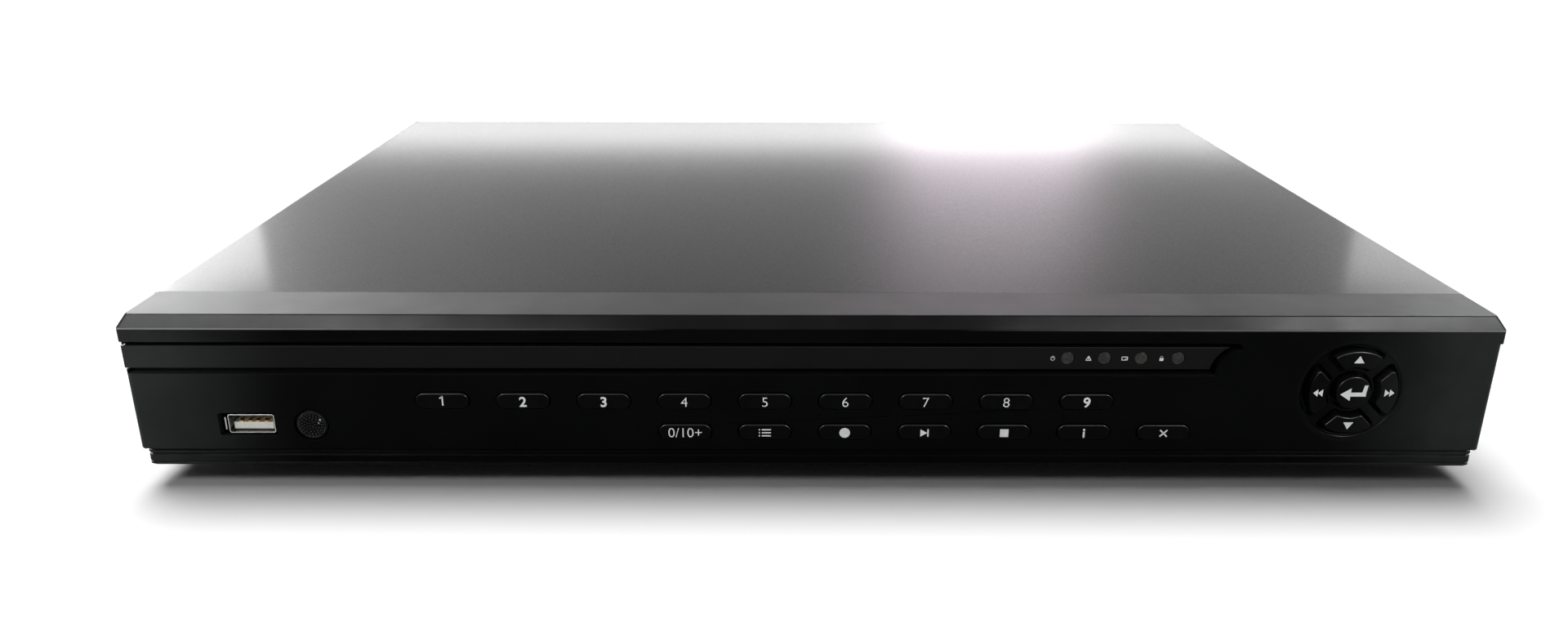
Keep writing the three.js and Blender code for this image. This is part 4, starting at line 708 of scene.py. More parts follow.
head_round = quarter_round(light_radius, light_low.y, light_dome, light_dome)
head_profile = [(light_radius, light_high.y), *head_round]
guide = fuse("light_heads", *[turned("head", head_profile, (x, light_z), "y", 40) for x in light_x])
clear_lens = finish(
    "clear_lens", grain, {"Grain": 900, "Patch": 700},
    ((0.008, 0.009, 0.008), (0.03, 0.031, 0.028)), (0.18, 0.3), 0.012 * MM, Specular_IOR_Level=0.16,
)
fit(guide, clear_lens, recorder, "clear_lens", "led_light_guide")

print_height = 0.03 * MM
white_print = finish(
    "white_print", grain, {"Grain": 3000, "Patch": 900},
    ((0.76, 0.77, 0.78), (0.84, 0.85, 0.86)), (0.5, 0.6), 0.004 * MM, Specular_IOR_Level=0.3,
)


def sign(name, outlines, surface, body, ink=None):
    """Print: each anticlockwise outline raised a little over a surface that faces the front or back.
    The ink is a material and its slot, white where none is given."""
    material, slot = ink or (white_print, "white_plastic")
    marks = [
        prism("mark", np.asarray(outline), "y", surface - print_height, surface + print_height)
        for outline in outlines
    ]
    return fit(fuse(name, *marks), material, body, slot)


def strokes(width, *runs):
    """Four-sided strips that follow open lines at a width, each longer by a quarter of it at both ends."""
    strips = []
    for run in runs:
        line = np.asarray(run, float)
        way = line[1:] - line[:-1]
        way /= np.linalg.norm(way, axis=1, keepdims=True)
        side = np.stack((-way[:, 1], way[:, 0]), axis=1) * width / 2
        first, last = line[:-1] - way * width / 4, line[1:] + way * width / 4
        strips += list(np.stack((first - side, last - side, last + side, first + side), axis=1))
    return strips


def place_sign(outlines, centre, scale=MM):
    """Moves outlines drawn in millimetres about nought to their centre."""
    return [np.asarray(outline, float) * scale + centre for outline in outlines]


thin_line = 0.22
lock_body = box_outline((0, -0.25), 1.1, 0.85, 0.1)
disc_hole = box_outline((0.35, -0.12), 0.34, 0.34, 0.16)
light_signs = {
    "power_sign": strokes(thin_line, arc((0, 0), 0.55, 125, 415, 16), [(0, 0.15), (0, 0.72)]),
    "alarm_sign": strokes(thin_line, [(-0.72, -0.55), (0.72, -0.55)],
                          [(-0.72, -0.55), (0, 0.72), (0.72, -0.55)], [(0, -0.3), (0, 0.28)]),
    "disc_sign": strokes(thin_line, [(-0.75, -0.45), (0.75, -0.45)], [(-0.75, 0.45), (0.75, 0.45)],
                         [(-0.75, -0.45), (-0.75, 0.45)], [(0.75, -0.45), (0.75, 0.45)]) + [disc_hole],
    "lock_sign": [lock_body] + strokes(thin_line, [(-0.32, 0.1), (-0.32, 0.4)], [(0.32, 0.1), (0.32, 0.4)],
                                       arc((0, 0.38), 0.32, 0, 180, 9)),
}
sign_runs = np.array((4.1, 4.4, 4.6, 4.6)) * MM
for (name, outlines), x, run in zip(light_signs.items(), light_x, sign_runs):
    sign(name, place_sign(outlines, (x - run, light_z)), strip_low.y, recorder)


# Row keys: flat oval caps with a softly rounded edge, moulded in the same black as the front. A rim
# behind the front holds each one in, and a stem reaches its switch. Their signs are printed on.
key_front, key_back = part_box("key_1")[0].y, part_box("key_1")[1].y
key_rim = 0.6 * MM
rim_depth = 1.0 * MM
rim_front = face_y + front_wall + key_gap
rim_back = rim_front + rim_depth
stem_radius = 1.5 * MM
stem_overlap = 0.05 * MM
cap_round = 0.34 * MM
digit_size = 4.15 * MM
sign_drop = 0.12 * MM
bold_digits = "239"
bold, plain = 0.024, -0.008
letter_crease = 30


def cap_profile(front, low_rim, round_size, steps=6):
    """Insets and heights of a cap from its rim to its face: straight up, then a quarter round."""
    return np.vstack(((0, low_rim), quarter_round(0, front, -round_size, round_size, steps))).T


def stem(spot, start, end):
    """Round pin from a cap to the switch behind it."""
    return rod("stem", stem_radius, (start - stem_overlap, end), spot)


def points_of(mesh):
    """The corners of a mesh, one row each."""
    points = np.empty(len(mesh.vertices) * 3, np.float32)
    mesh.vertices.foreach_get("co", points)
    return points.reshape(-1, 3)


def printed_text(name, words, size, weight, centre, surface, body, facing=1, ink=None):
    """Plain characters as thin print: drawn by the built-in letters, centred, and set upright on a
    surface that faces the front, or the back where facing is -1."""
    material, slot = ink or (white_print, "white_plastic")
    curve = bpy.data.curves.new(name, "FONT")
    curve.body = words
    curve.size = size
    curve.offset = weight * size
    curve.extrude = print_height
    writer = put_in(name, curve)
    drawn = bpy.data.meshes.new_from_object(writer.evaluated_get(bpy.context.evaluated_depsgraph_get()))
    bpy.data.objects.remove(writer)
    points = points_of(drawn)
    points[:, :2] -= (points[:, :2].min(0) + points[:, :2].max(0)) / 2
    placed = np.stack((
        centre[0] + facing * points[:, 0], surface - facing * points[:, 2], centre[1] + points[:, 1],
    ), axis=1)
    drawn.vertices.foreach_set("co", placed.astype(np.float32).ravel())
    return fit(put_in(name, drawn), material, body, slot, crease=letter_crease)


# The keys' dust colour and gloss paint a sheen along their upper edges: part dust, part painted highlight.
key_black = finish(
    "key_black", grain, {"Grain": 5200, "Patch": 160},
    ((0.0012, 0.0013, 0.0015), (0.0022, 0.0024, 0.0027)), (0.14, 0.19), 0.003 * MM,
    dust_and_sheen=((0.012, 0.0125, 0.013), 0.5, 0.3), Specular_IOR_Level=0.02,
)
for name in row_keys:
    outline = box_outline(middle(name), key_width, key_height, key_height / 2 - pill_edge, 20)
    insets, heights = cap_profile(key_front, rim_front, cap_round)
    cap = stacked("cap", [inset(outline, d) for d in insets], heights, "y")
    rim = slab("rim", inset(outline, -key_gap - key_rim), "y", rim_front, rim_back)
    key = fuse(name + "_cap", cap, rim, stem(middle(name), rim_back, key_back))
    fit(key, key_black, name, "black_key", name)

one_line = 0.42
one = strokes(one_line, [(0.12, -1.35), (0.12, 1.35)], [(0.12, 1.2), (-0.55, 0.75)])
one_lift = 0.3 * MM
sign("digit_1", place_sign(one, middle("key_1") + (0, one_lift - sign_drop)), key_front, "key_1")
for digit in "23456789":
    printed_text("digit_" + digit, digit, digit_size, bold if digit in bold_digits else plain,
                 middle("key_" + digit) - (0, sign_drop), key_front, "key_" + digit)
printed_text("digit_0", "0/10+", digit_size, plain, middle("key_0") - (0, sign_drop), key_front, "key_0")

bullet_x, list_middle, list_width = -1.55, 0.4, 2.6
list_rows = (-0.95, 0, 0.95)
list_line, bullet = 0.36, 0.42
bullet_share = 0.48
cross_line, cross_reach, cross_gap = 0.42, 0.95, 0.3
key_signs = {
    "menu_key": [
        *[box_outline((bullet_x, z), bullet, bullet, bullet * bullet_share) for z in list_rows],
        *[box_outline((list_middle, z), list_width, list_line, list_line / 4) for z in list_rows],
    ],
    "record_key": [circle((0, 0), 1.5, 36)],
    "play_key": [[(-1.15, -1.15), (0.75, 0), (-1.15, 1.15)], box_outline((0.98, 0), 0.42, 2.3, 0.05)],
    "stop_key": [box_outline((0, 0), 2.4, 2.4, 0.08)],
    "info_key": [circle((0, 1.05), 0.33, 24), box_outline((0, -0.45), 0.55, 1.9, 0.1)],
    "escape_key": strokes(cross_line, [(-cross_reach, -cross_reach), (cross_reach, cross_reach)],
                          [(-cross_reach, cross_reach), (-cross_gap, cross_gap)],
                          [(cross_gap, -cross_gap), (cross_reach, -cross_reach)]),
}
for name, outlines in key_signs.items():
    sign(name + "_sign", place_sign(outlines, middle(name) - (0, sign_drop)), key_front, name)


# Arrow keys: four pieces of a ring, rounded over at their edges, about a round enter key. They are
# of the keys' black plastic, and reach their switches through a dished floor.
pad_front, pad_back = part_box("up_key")[0].y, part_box("up_key")[1].y
arc_round = 0.32 * MM
arc_corner, least_corner = 0.8 * MM, 0.05 * MM
flange_radius = 6.5 * MM
flange_depth = 1.0 * MM
flange_front = boss_back + key_gap
arc_middle = sum(arc_radii) / 2

insets, heights = cap_profile(pad_front, flange_front, arc_round)
for name, angle in arc_keys.items():
    cap = stacked("cap", [
        sector(pad_spot, angle, (arc_radii[0] + d, arc_radii[1] - d), spoke_half + d,
               max(arc_corner - d, least_corner))
        for d in insets
    ], heights, "y")
    pin = stem(spot_at(pad_spot, arc_middle, angle), flange_front, pad_back)
    fit(fuse(name + "_cap", cap, pin), key_black, name, "black_key", name)
cap = turned("cap", np.stack((enter_radius - insets, heights), axis=1), pad_spot, "y", 72)
flange = rod("flange", flange_radius, (flange_front, flange_front + flange_depth), pad_spot, 48)
enter = fuse("enter_cap", cap, flange, stem(pad_spot, flange_front + flange_depth, pad_back))
fit(enter, key_black, "enter_key", "black_key", "enter_key")

pointer = np.array([(-1.4, -1.0), (1.4, -1.0), (0, 1.15)])
skip = np.array([(0.0, -1.1), (1.35, 0), (0.0, 1.1)])
skip_step = np.array((1.35, 0))
arrow_signs = {
    "up_key": [pointer],
    "down_key": [-pointer],
    "right_key": [skip - skip_step, skip],
    "left_key": [-skip + skip_step, -skip],
}
for name, outlines in arrow_signs.items():
    spot = spot_at(pad_spot, arc_middle, arc_keys[name])
    sign(name + "_sign", place_sign(outlines, spot), pad_front, name)
enter_sign = [
    [(-3.7, -0.45), (-0.8, -2.35), (-0.8, 1.45)],
    [(-0.85, -1.05), (3.5, -1.05), (3.5, 0.15), (-0.85, 0.15)],
    [(2.35, 0.1), (3.5, 0.1), (3.75, 2.3), (2.75, 2.3)],
]
sign("enter_sign", place_sign(enter_sign, pad_spot), pad_front, "enter_key")


# Remote window: a disc of dark glossy plastic pressed into the front, moulded with rings of small
# lens dots inside a fine rim, two of them pale grey as painted glints, and the collar that holds it.
window_low, window_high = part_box("remote_window")
window_spot = middle("remote_window")
collar_radius = (window_high.x - window_low.x) / 2
collar_front = face_y + front_wall + key_gap
lens_edge = 0.35 * MM
lens_thickness = 0.9 * MM
dot_radius, dot_rise = 0.17 * MM, 0.03 * MM
dot_rings = ((0.7, 5), (1.4, 9), (2.1, 14), (2.75, 19), (3.3, 24), (3.8, 60))
painted_glint_dots = ((2.45, 1.5, 0.3), (1.95, 0.5, 0.2))
disc = turned("window_disc", [
    (window_radius, window_low.y + lens_thickness),
    *quarter_round(window_radius, window_low.y, lens_edge, lens_edge),
], window_spot, "y", 64)
smoky_lens = finish(
    "smoky_lens", grain, {"Grain": 2500, "Patch": 600},
    ((0.0012, 0.0014, 0.0014), (0.0026, 0.0029, 0.0029)), (0.12, 0.2), 0.002 * MM, Specular_IOR_Level=0.025,
)
fit(disc, smoky_lens, recorder, "dark_lens")
dots = [
    turned("dot", [(dot_radius, window_low.y + dot_rise), (dot_radius, window_low.y),
                   (dot_radius * 2 / 3, window_low.y - dot_rise)], spot, "y", 8)
    for radius, count in dot_rings
    for spot in circle(window_spot, radius * MM, count)
]
receiver_grey = finish(
    "receiver_dots", grain, {"Grain": 4000, "Patch": 700},
    ((0.012, 0.0125, 0.0125), (0.07, 0.073, 0.073)), (0.2, 0.3), 0.002 * MM, Specular_IOR_Level=0.08,
)
fit(fuse("receiver_dots", *dots), receiver_grey, recorder, "dark_lens")
# Painted glints: two pale grey dots stand in for reflections on the lens.
painted_glints = finish(
    "painted_receiver_glints", grain, {"Grain": 4000, "Patch": 700},
    ((0.3, 0.31, 0.31), (0.42, 0.43, 0.43)), (0.1, 0.2), 0.001 * MM, Specular_IOR_Level=0.6,
)
glints = [
    turned("glint", [(size * MM, window_low.y), (size * MM * 2 / 3, window_low.y - dot_rise)],
           (window_spot[0] + x * MM, window_spot[1] + z * MM), "y", 10)
    for x, z, size in painted_glint_dots
]
fit(fuse("painted_receiver_glints", *glints), painted_glints, recorder, "dark_lens")

collar_y = window_low.y + lens_thickness + light_gap
collar = fuse(
    "receiver_collar",
    rod("collar", window_radius - light_gap, (collar_y, collar_front), window_spot, 48),
    rod("flange", collar_radius, (collar_front, window_high.y), window_spot, 48),
)
receiver_black = finish(
    "receiver_black", grain, {"Grain": 4000, "Patch": 300},
    ((0.004, 0.0042, 0.0045), (0.007, 0.0073, 0.0077)), (0.2, 0.3), 0.004 * MM, Specular_IOR_Level=0.1,
)
fit(collar, receiver_black, recorder, "dark_lens", "remote_window")


# Front USB socket: a nickel-plated steel shell folded from sheet, and a white plastic tongue with
# four gilt contacts. It is soldered to the board behind the front.
usb_shell_wall = 0.3 * MM
usb_corner = 0.6 * MM
usb_base = 1.2 * MM
tongue_width, tongue_thickness, tongue_rise = 11.1 * MM, 2.1 * MM, 0.45 * MM
tongue_setback = 1.2 * MM
contact_x = (-3.5 * MM, -1.0 * MM, 1.0 * MM, 3.5 * MM)
contact_width, contact_length, contact_height = 1.1 * MM, 6.4 * MM, 0.6 * MM
contact_setback = 0.3 * MM
contact_bend, contact_crest, contact_least = 0.14, 0.2, 0.25
tongue_edge = 0.15 * MM
streak_contrast = (0.3, 0.7)

drawn, sizes, place = pattern_group("drawn_lines", {"Along": 40, "Across": 2500})
stretch = add_node(drawn, "ShaderNodeCombineXYZ", {
    0: sizes.outputs["Along"], 1: sizes.outputs["Across"], 2: sizes.outputs["Across"],
})
lines = add_node(drawn, "ShaderNodeVectorMath", {0: place.outputs["Object"], 1: stretch.outputs[0]},
                 operation="MULTIPLY")
streak = add_node(drawn, "ShaderNodeTexNoise", {"Vector": lines.outputs[0], "Scale": 1, "Detail": 3})
add_node(drawn, "NodeGroupOutput", {
    "Mask": ramp(drawn, streak.outputs[0], *streak_contrast), "Height": streak.outputs[0],
})

bright_steel = finish(
    "bright_steel", drawn, {"Along": 400, "Across": 3000},
    ((0.36, 0.36, 0.35), (0.27, 0.27, 0.26)), (0.2, 0.3), 0.002 * MM, Metallic=1.0,
)
gilt = finish(
    "gilt_contact", drawn, {"Along": 300, "Across": 4000},
    ((0.75, 0.52, 0.2), (0.62, 0.42, 0.15)), (0.22, 0.34), 0.001 * MM, Metallic=1.0,
)
socket_white = finish(
    "socket_white", grain, {"Grain": 3000, "Patch": 300},
    ((0.72, 0.71, 0.66), (0.8, 0.79, 0.74)), (0.35, 0.45), 0.006 * MM,
)


def usb_socket(name, centre, front, back, way, *nodes):
    """Shell, tongue and contacts about a centre. Way is 1 where the mouth faces the front and -1 where it
    faces the back. A contact's height is a bell curve of its run, with the crest near its tip."""
    outline = box_outline(centre, *usb_size, usb_corner)
    tube = slab(name + "_tube", outline, "y", min(front, back), max(front, back), usb_shell_wall / 3)
    mouth = (front - way * overrun, back - way * usb_base)
    carve(tube, prism("mouth", inset(outline, usb_shell_wall), "y", min(mouth), max(mouth)))
    fit(soften(tube, usb_shell_wall / 4), bright_steel, recorder, "bright_steel", nodes[0])
    low = centre[1] - usb_size[1] / 2 + usb_shell_wall + tongue_rise
    top = low + tongue_thickness
    ends = (front + way * tongue_setback, back - way * usb_base / 2)
    blade_middle = (centre[0], low + tongue_thickness / 2)
    blade_line = box_outline(blade_middle, tongue_width, tongue_thickness, tongue_edge)
    blade = slab(name + "_blade", blade_line, "y", min(ends), max(ends), tongue_edge)
    fit(blade, socket_white, recorder, "white_plastic", *nodes[1:])
    run = np.linspace(0, 1, 9)
    y = front + way * (tongue_setback + contact_setback + contact_length * run)
    bulge = np.exp(-((run - contact_crest) / contact_bend) ** 2)
    z = top + contact_height * (contact_least + (1 - contact_least) * bulge)
    side = np.concatenate((np.stack((y, z), axis=1), ((y[-1], top - tongue_edge), (y[0], top - tongue_edge))))
    springs = [
        prism("spring", side, "x", centre[0] + x - contact_width / 2, centre[0] + x + contact_width / 2)
        for x in contact_x
    ]
    return fit(fuse(name + "_contacts", *springs), gilt, recorder, "bright_steel")


shell_low, shell_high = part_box("front_usb_shell")
usb_socket("front_usb", middle("front_usb_shell"), shell_low.y, shell_high.y, 1,
           "front_usb_shell", "front_usb_tongue")
lip_offset, lip_thickness, lip_length, lip_depth = 0.8 * MM, 0.45 * MM, 3.9 * MM, 2.2 * MM
lip_spot = (shell_low.x - lip_offset, middle("front_usb_shell")[1])
side_lip = slab("front_usb_lip", box_outline(lip_spot, lip_thickness, lip_length, lip_thickness / 3), "y",
                shell_low.y + tongue_edge, shell_low.y + lip_depth)
fit(side_lip, bright_steel, recorder, "bright_steel")


# Top cover: one sheet of steel folded over the case, with a row of air slots in each side and a lip
# over the rear panel, under a fine dark powder coat.
powder, sizes, place = pattern_group("powder_coat", {"Peel": 900, "Speck": 2600})
peel = add_node(powder, "ShaderNodeTexNoise", {
    "Vector": place.outputs["Object"], "Scale": sizes.outputs["Peel"], "Detail": 3, "Roughness": 0.6,
})
speck = add_node(powder, "ShaderNodeTexVoronoi", {
    "Vector": place.outputs["Object"], "Scale": sizes.outputs["Speck"],
})
speck_contrast = (0.15, 0.6)
add_node(powder, "NodeGroupOutput", {
    "Mask": ramp(powder, speck.outputs[0], *speck_contrast), "Height": peel.outputs[0],
})

cover_low, cover_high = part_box("top_cover")
half_cover = cover_high.x
sheet = 1.0 * MM
fold_outer, fold_inner, sheet_edge = 1.3 * MM, 0.3 * MM, 0.2 * MM
sheet_rim = 0.15 * MM
slot_width, slot_height, slot_pitch, slot_count = 3 * MM, 20 * MM, 7 * MM, 14
slot_start, slot_top_drop = 66 * MM, 12 * MM
lip_height, lip_corner = 5.5 * MM, 0.4 * MM
cover_screws = ["cover_screw_1", "cover_screw_2", "cover_screw_3"]
screw_hole = 1.7 * MM

section = rounded([
    (-half_cover, cover_low.z), (-half_cover + sheet, cover_low.z),
    (-half_cover + sheet, cover_high.z - sheet), (half_cover - sheet, cover_high.z - sheet),
    (half_cover - sheet, cover_low.z), (half_cover, cover_low.z),
    (half_cover, cover_high.z), (-half_cover, cover_high.z),
], (sheet_edge, sheet_edge, fold_inner, fold_inner, sheet_edge, sheet_edge, fold_outer, fold_outer), 7)
cover = slab("steel_cover", section, "y", cover_low.y, cover_high.y, sheet_rim)
slot_z = cover_high.z - slot_top_drop - slot_height / 2
slots = []
for i in range(slot_count):
    outline = box_outline((cover_low.y + slot_start + slot_pitch * i, slot_z), slot_width, slot_height,
                          slot_width / 2 - pill_edge, 8)
    slots.append(prism("slot", outline, "x", -half_cover - overrun, half_cover + overrun))
carve(cover, *slots)
soften(cover, sheet_rim)
lip_line = box_outline((0, cover_high.z - sheet / 2 - lip_height / 2), 2 * half_cover - 2 * sheet,
                       lip_height, lip_corner)
lip = slab("lip", lip_line, "y", cover_high.y - sheet, cover_high.y)
lip_ends = (cover_high.y - sheet - overrun, cover_high.y + overrun)
carve(lip, *[rod("hole", screw_hole, lip_ends, middle(name)) for name in cover_screws])
coated_steel = finish(
    "coated_steel", powder, {"Peel": 1100, "Speck": 2400},
    ((0.016, 0.016, 0.015), (0.009, 0.009, 0.0085)), (0.36, 0.43), 0.03 * MM, Specular_IOR_Level=0.01,
    Coat_Weight=0.14, Coat_Roughness=0.105, Coat_IOR=1.3,
)
fit(fuse("steel_cover", cover, lip), coated_steel, recorder, "coated_steel", "top_cover")


# Rear panel: a flat sheet of zinc-plated steel with a punched opening for every socket, vents and
# a fan grille. It stands between the pan's sides, behind the cover's lip.
panel_low, panel_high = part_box("rear_panel")
rear_y = panel_high.y
rear_through = (panel_low.y - overrun, panel_high.y + overrun)
opening_gap = 0.3 * MM
opening_corner, panel_corner_round = 0.5 * MM, 0.4 * MM
video_low, video_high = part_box("video_input_block")
video_pitch, video_drops = 16 * MM, np.array((24.38 * MM, 8 * MM))
video_x = (video_low.x + video_high.x) / 2 + video_pitch * (np.arange(4) - 1.5)
video_z = video_high.z - video_drops
video_radius = 4.8 * MM
audio_low, audio_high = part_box("audio_block")
audio_pitch, audio_drops = 13 * MM, np.array((22.01 * MM, 6.5 * MM))
audio_x = (audio_low.x + audio_high.x) / 2 + audio_pitch * np.array((-0.5, 0.5))
audio_z = audio_high.z - audio_drops
audio_radius = 4.15 * MM
monitor_x, monitor_z = middle("monitor_port")
monitor_half = np.array((8.3 * MM, 4.0 * MM))
monitor_slant, monitor_corner = 1.2 * MM, 1.6 * MM
nut_radius, nut_x = 2.5 * MM, 11.9 * MM
fan_spot = middle("fan_frame")
fan_bore, fan_hub, fan_bar = 18.7 * MM, 9.2 * MM, 1.0 * MM
fan_hole_reach = 16 * MM
vent_size, vent_pitch, vent_count = (3 * MM, 8 * MM), 8 * MM, 16
vent_middle = np.array((63.4 * MM, 40.26 * MM))
zinc_rim = 0.12 * MM
square_turn = 60


def monitor_outline(grow, corner):
    """Slanted outline of the monitor socket's face, wider at its top."""
    half, high = monitor_half + grow
    return rounded([
        (monitor_x + half, monitor_z + high), (monitor_x - half, monitor_z + high),
        (monitor_x - half + monitor_slant, monitor_z - high),
        (monitor_x + half - monitor_slant, monitor_z - high),
    ], corner)


def grid(xs, zs):
    """Every spot of a grid of columns and rows."""
    return np.stack(np.meshgrid(xs, zs), axis=-1).reshape(-1, 2)


def node_outline(node, corner_round, grow=0):
    """Outline of a node's box seen from behind, grown by a distance on each side, with round corners."""
    low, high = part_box(node)
    return box_outline(middle(node), high.x - low.x + 2 * grow, high.z - low.z + 2 * grow, corner_round)


switch_low, switch_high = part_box("power_switch_housing")
switch_spot = middle("power_switch_housing")
switch_flange = 1.6 * MM
openings = [circle(spot, video_radius + opening_gap, 48) for spot in grid(video_x, video_z)]
openings += [circle(spot, audio_radius + opening_gap, 48) for spot in grid(audio_x, audio_z)]
openings += [circle((monitor_x + x, monitor_z), nut_radius + opening_gap, 12) for x in (-nut_x, nut_x)]
openings += [circle(middle(name), screw_hole, 24) for name in (*cover_screws, "ground_screw")]
openings += [node_outline(name, opening_corner, opening_gap) for name in (
    "digital_video_port", "network_port", "rear_usb_port", "terminal_block", "power_jack",
)]
openings += [
    monitor_outline(opening_gap, monitor_corner),
    node_outline("power_switch_housing", opening_corner, opening_gap - switch_flange),
]
vent_x = vent_pitch * (np.arange(vent_count) - (vent_count - 1) / 2)
openings += [box_outline(vent_middle + (x, 0), *vent_size, vent_size[0] / 2 - pill_edge, 8) for x in vent_x]
openings += [sector(fan_spot, 45 + 90 * i, (fan_hub, fan_bore), fan_bar, aperture_corner) for i in range(4)]
panel_line = node_outline("rear_panel", panel_corner_round)
panel = slab("steel_rear_panel", panel_line, "y", panel_low.y, panel_high.y)
carve(panel, *[prism("opening", outline, "y", *rear_through) for outline in openings])
zinc_steel = finish(
    "zinc_steel", drawn, {"Along": 60, "Across": 1800},
    ((0.36, 0.37, 0.38), (0.29, 0.3, 0.31)), (0.34, 0.46), 0.003 * MM, Metallic=1.0,
)
dark_print = finish(
    "dark_print", grain, {"Grain": 4000, "Patch": 500},
    ((0.006, 0.006, 0.0065), (0.014, 0.014, 0.015)), (0.45, 0.6), 0.002 * MM, Specular_IOR_Level=0.3,
)
dark_ink = (dark_print, "black_plastic")
fit(soften(panel, zinc_rim, square_turn), zinc_steel, recorder, "zinc_steel", "rear_panel")


# Fan: a square black frame behind the grille, held by four screws, with a round seat on two crossing
# bars and a seven-bladed rotor that turns on it. The heads of the cover's screws are made here too.
fan_low, fan_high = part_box("fan_frame")
rotor_low, rotor_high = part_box("fan_rotor")
fan_side, fan_corner = 40 * MM, 2.5 * MM
fan_screw_hole = 1.6 * MM
fan_strut, fan_strut_depth = 2.2 * MM, 1.6 * MM
rotor_tip = 18.0 * MM
rotor_edge = 0.8 * MM
shaft_wall = 1.4 * MM
blade_count, blade_sweep = 7, 24
blade_chord, blade_depth, blade_thickness = 8.4 * MM, 5.2 * MM, 1.0 * MM

fan_rim, fan_edge = 0.3 * MM, 0.2 * MM
root_chord, chord_growth = 0.8, 0.25
blade_camber = 0.7 * MM
root_lean, lean_loss = 1.15, 0.3

ends = (fan_low.y - overrun, fan_high.y + overrun)
fan_holes = fan_spot + grid((-fan_hole_reach, fan_hole_reach), (-fan_hole_reach, fan_hole_reach))
rim_line = box_outline(fan_spot, fan_side, fan_side, fan_corner, 8)
rim = slab("rim", rim_line, "y", fan_low.y, fan_high.y, fan_rim)
screw_holes = [rod("hole", fan_screw_hole, ends, spot) for spot in fan_holes]
carve(rim, rod("bore", fan_bore, ends, fan_spot, 96), *screw_holes)
seat_ends = (fan_low.y, fan_low.y + fan_strut_depth)
strut_run = 2 * fan_bore + overrun
struts = [
    slab("strut", box_outline(fan_spot, *size, fan_rim), "y", *seat_ends)
    for size in ((strut_run, fan_strut), (fan_strut, strut_run))
]
seat = rod("seat", fan_hub, seat_ends, fan_spot, 48)
fan = fuse("fan_housing", soften(rim, fan_edge, square_turn), *struts, seat)
black_plastic = finish(
    "black_plastic", grain, {"Grain": 3500, "Patch": 120},
    ((0.012, 0.012, 0.013), (0.018, 0.018, 0.019)), (0.4, 0.5), 0.01 * MM, Specular_IOR_Level=0.35,
)
fit(fan, black_plastic, recorder, "black_plastic", "fan_frame")

hub = turned("hub", [
    (fan_hub - shaft_wall, rotor_low.y + shaft_wall), (fan_hub - shaft_wall, rotor_low.y),
    (fan_hub, rotor_low.y),
    *quarter_round(fan_hub, rotor_high.y, rotor_edge, -rotor_edge),
], fan_spot, "y", 64)
stations = np.linspace(fan_hub - shaft_wall / 2, rotor_tip, 9)[:, None]
share = (stations - stations[0]) / (stations[-1] - stations[0])
turn_round = np.linspace(0, 2 * np.pi, 24, endpoint=False)
along = np.cos(turn_round) * blade_chord / 2 * (root_chord + chord_growth * share)
across = np.sin(turn_round) * blade_thickness / 2
camber = -blade_camber * (1 - (2 * along / blade_chord) ** 2)
lean = np.arctan2(blade_depth, blade_chord) * (root_lean - lean_loss * share)
blade_run = along * np.cos(lean) - (across + camber) * np.sin(lean)
blade_y = along * np.sin(lean) + (across + camber) * np.cos(lean)
blades = []
for i in range(blade_count):
    angle = 2 * np.pi * i / blade_count + np.radians(blade_sweep) * share + blade_run / stations
    rings = np.stack((
        fan_spot[0] + stations * np.cos(angle),
        (rotor_low.y + rotor_high.y) / 2 + blade_y,
        fan_spot[1] + stations * np.sin(angle),
    ), axis=-1)
    blades.append(shell("blade", rings))
fit(fuse("fan_blades", hub, *blades), black_plastic, "fan_rotor", "black_plastic", "fan_rotor")


def plus_outline(centre, reach, width):
    """Outline of a cross recess with arms of a reach and a width."""
    a, b = reach, width / 2
    upper = [(a, -b), (a, b), (b, b), (b, a), (-b, a), (-b, b)]
    lower = [(-a, b), (-a, -b), (-b, -b), (-b, -a), (b, -a), (b, -b)]
    return np.asarray(upper + lower) + centre


neck_gap, neck_share = 0.02 * MM, 0.97
side_share, dome_foot, dome_flat = 0.2, 0.25, 0.35
recess_floor, recess_mouth, recess_overrun = (0.3, 0.14), (0.58, 0.22), 0.1 * MM


def pan_screw(name, spot, seat, head, rise, shank, length, material, slot, *nodes):
    """Screw with a domed head: a quarter ellipse over a short side, a round shank, and a cross recess
    that narrows inwards."""
    side = seat + rise * side_share
    body = turned(name, [
        (shank, seat - length), (shank, seat - neck_gap), (head * neck_share, seat), (head, side),
        *quarter_round(head, seat + rise, head * (1 - dome_flat), -rise * (1 - dome_foot), 8),
    ], spot, "y", 40)
    recess = [plus_outline(spot, *(head * np.array(shares))) for shares in (recess_floor, recess_mouth)]
    carve(body, stacked("recess", recess, (side, seat + rise + recess_overrun), "y"))
    return fit(body, material, recorder, slot, *nodes)


black_screw = finish(
    "black_screw", drawn, {"Along": 900, "Across": 900},
    ((0.02, 0.02, 0.021), (0.035, 0.035, 0.036)), (0.3, 0.42), 0.002 * MM, Specular_IOR_Level=0.5,
)
fan_screw_head, fan_screw_rise, fan_screw_length = 2.7 * MM, 1.3 * MM, 8 * MM
fan_screw_shank, cover_screw_shank = 1.5 * MM, 1.4 * MM
for i, spot in enumerate(fan_holes):
    pan_screw(f"fan_screw_{i + 1}", spot, rear_y, fan_screw_head, fan_screw_rise,
              fan_screw_shank, fan_screw_length, black_screw, "black_steel")
for name in cover_screws:
    low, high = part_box(name)
    pan_screw(name + "_head", middle(name), cover_high.y, (high.x - low.x) / 2, high.y - cover_high.y,
              cover_screw_shank, cover_high.y - low.y, black_screw, "black_steel", name)


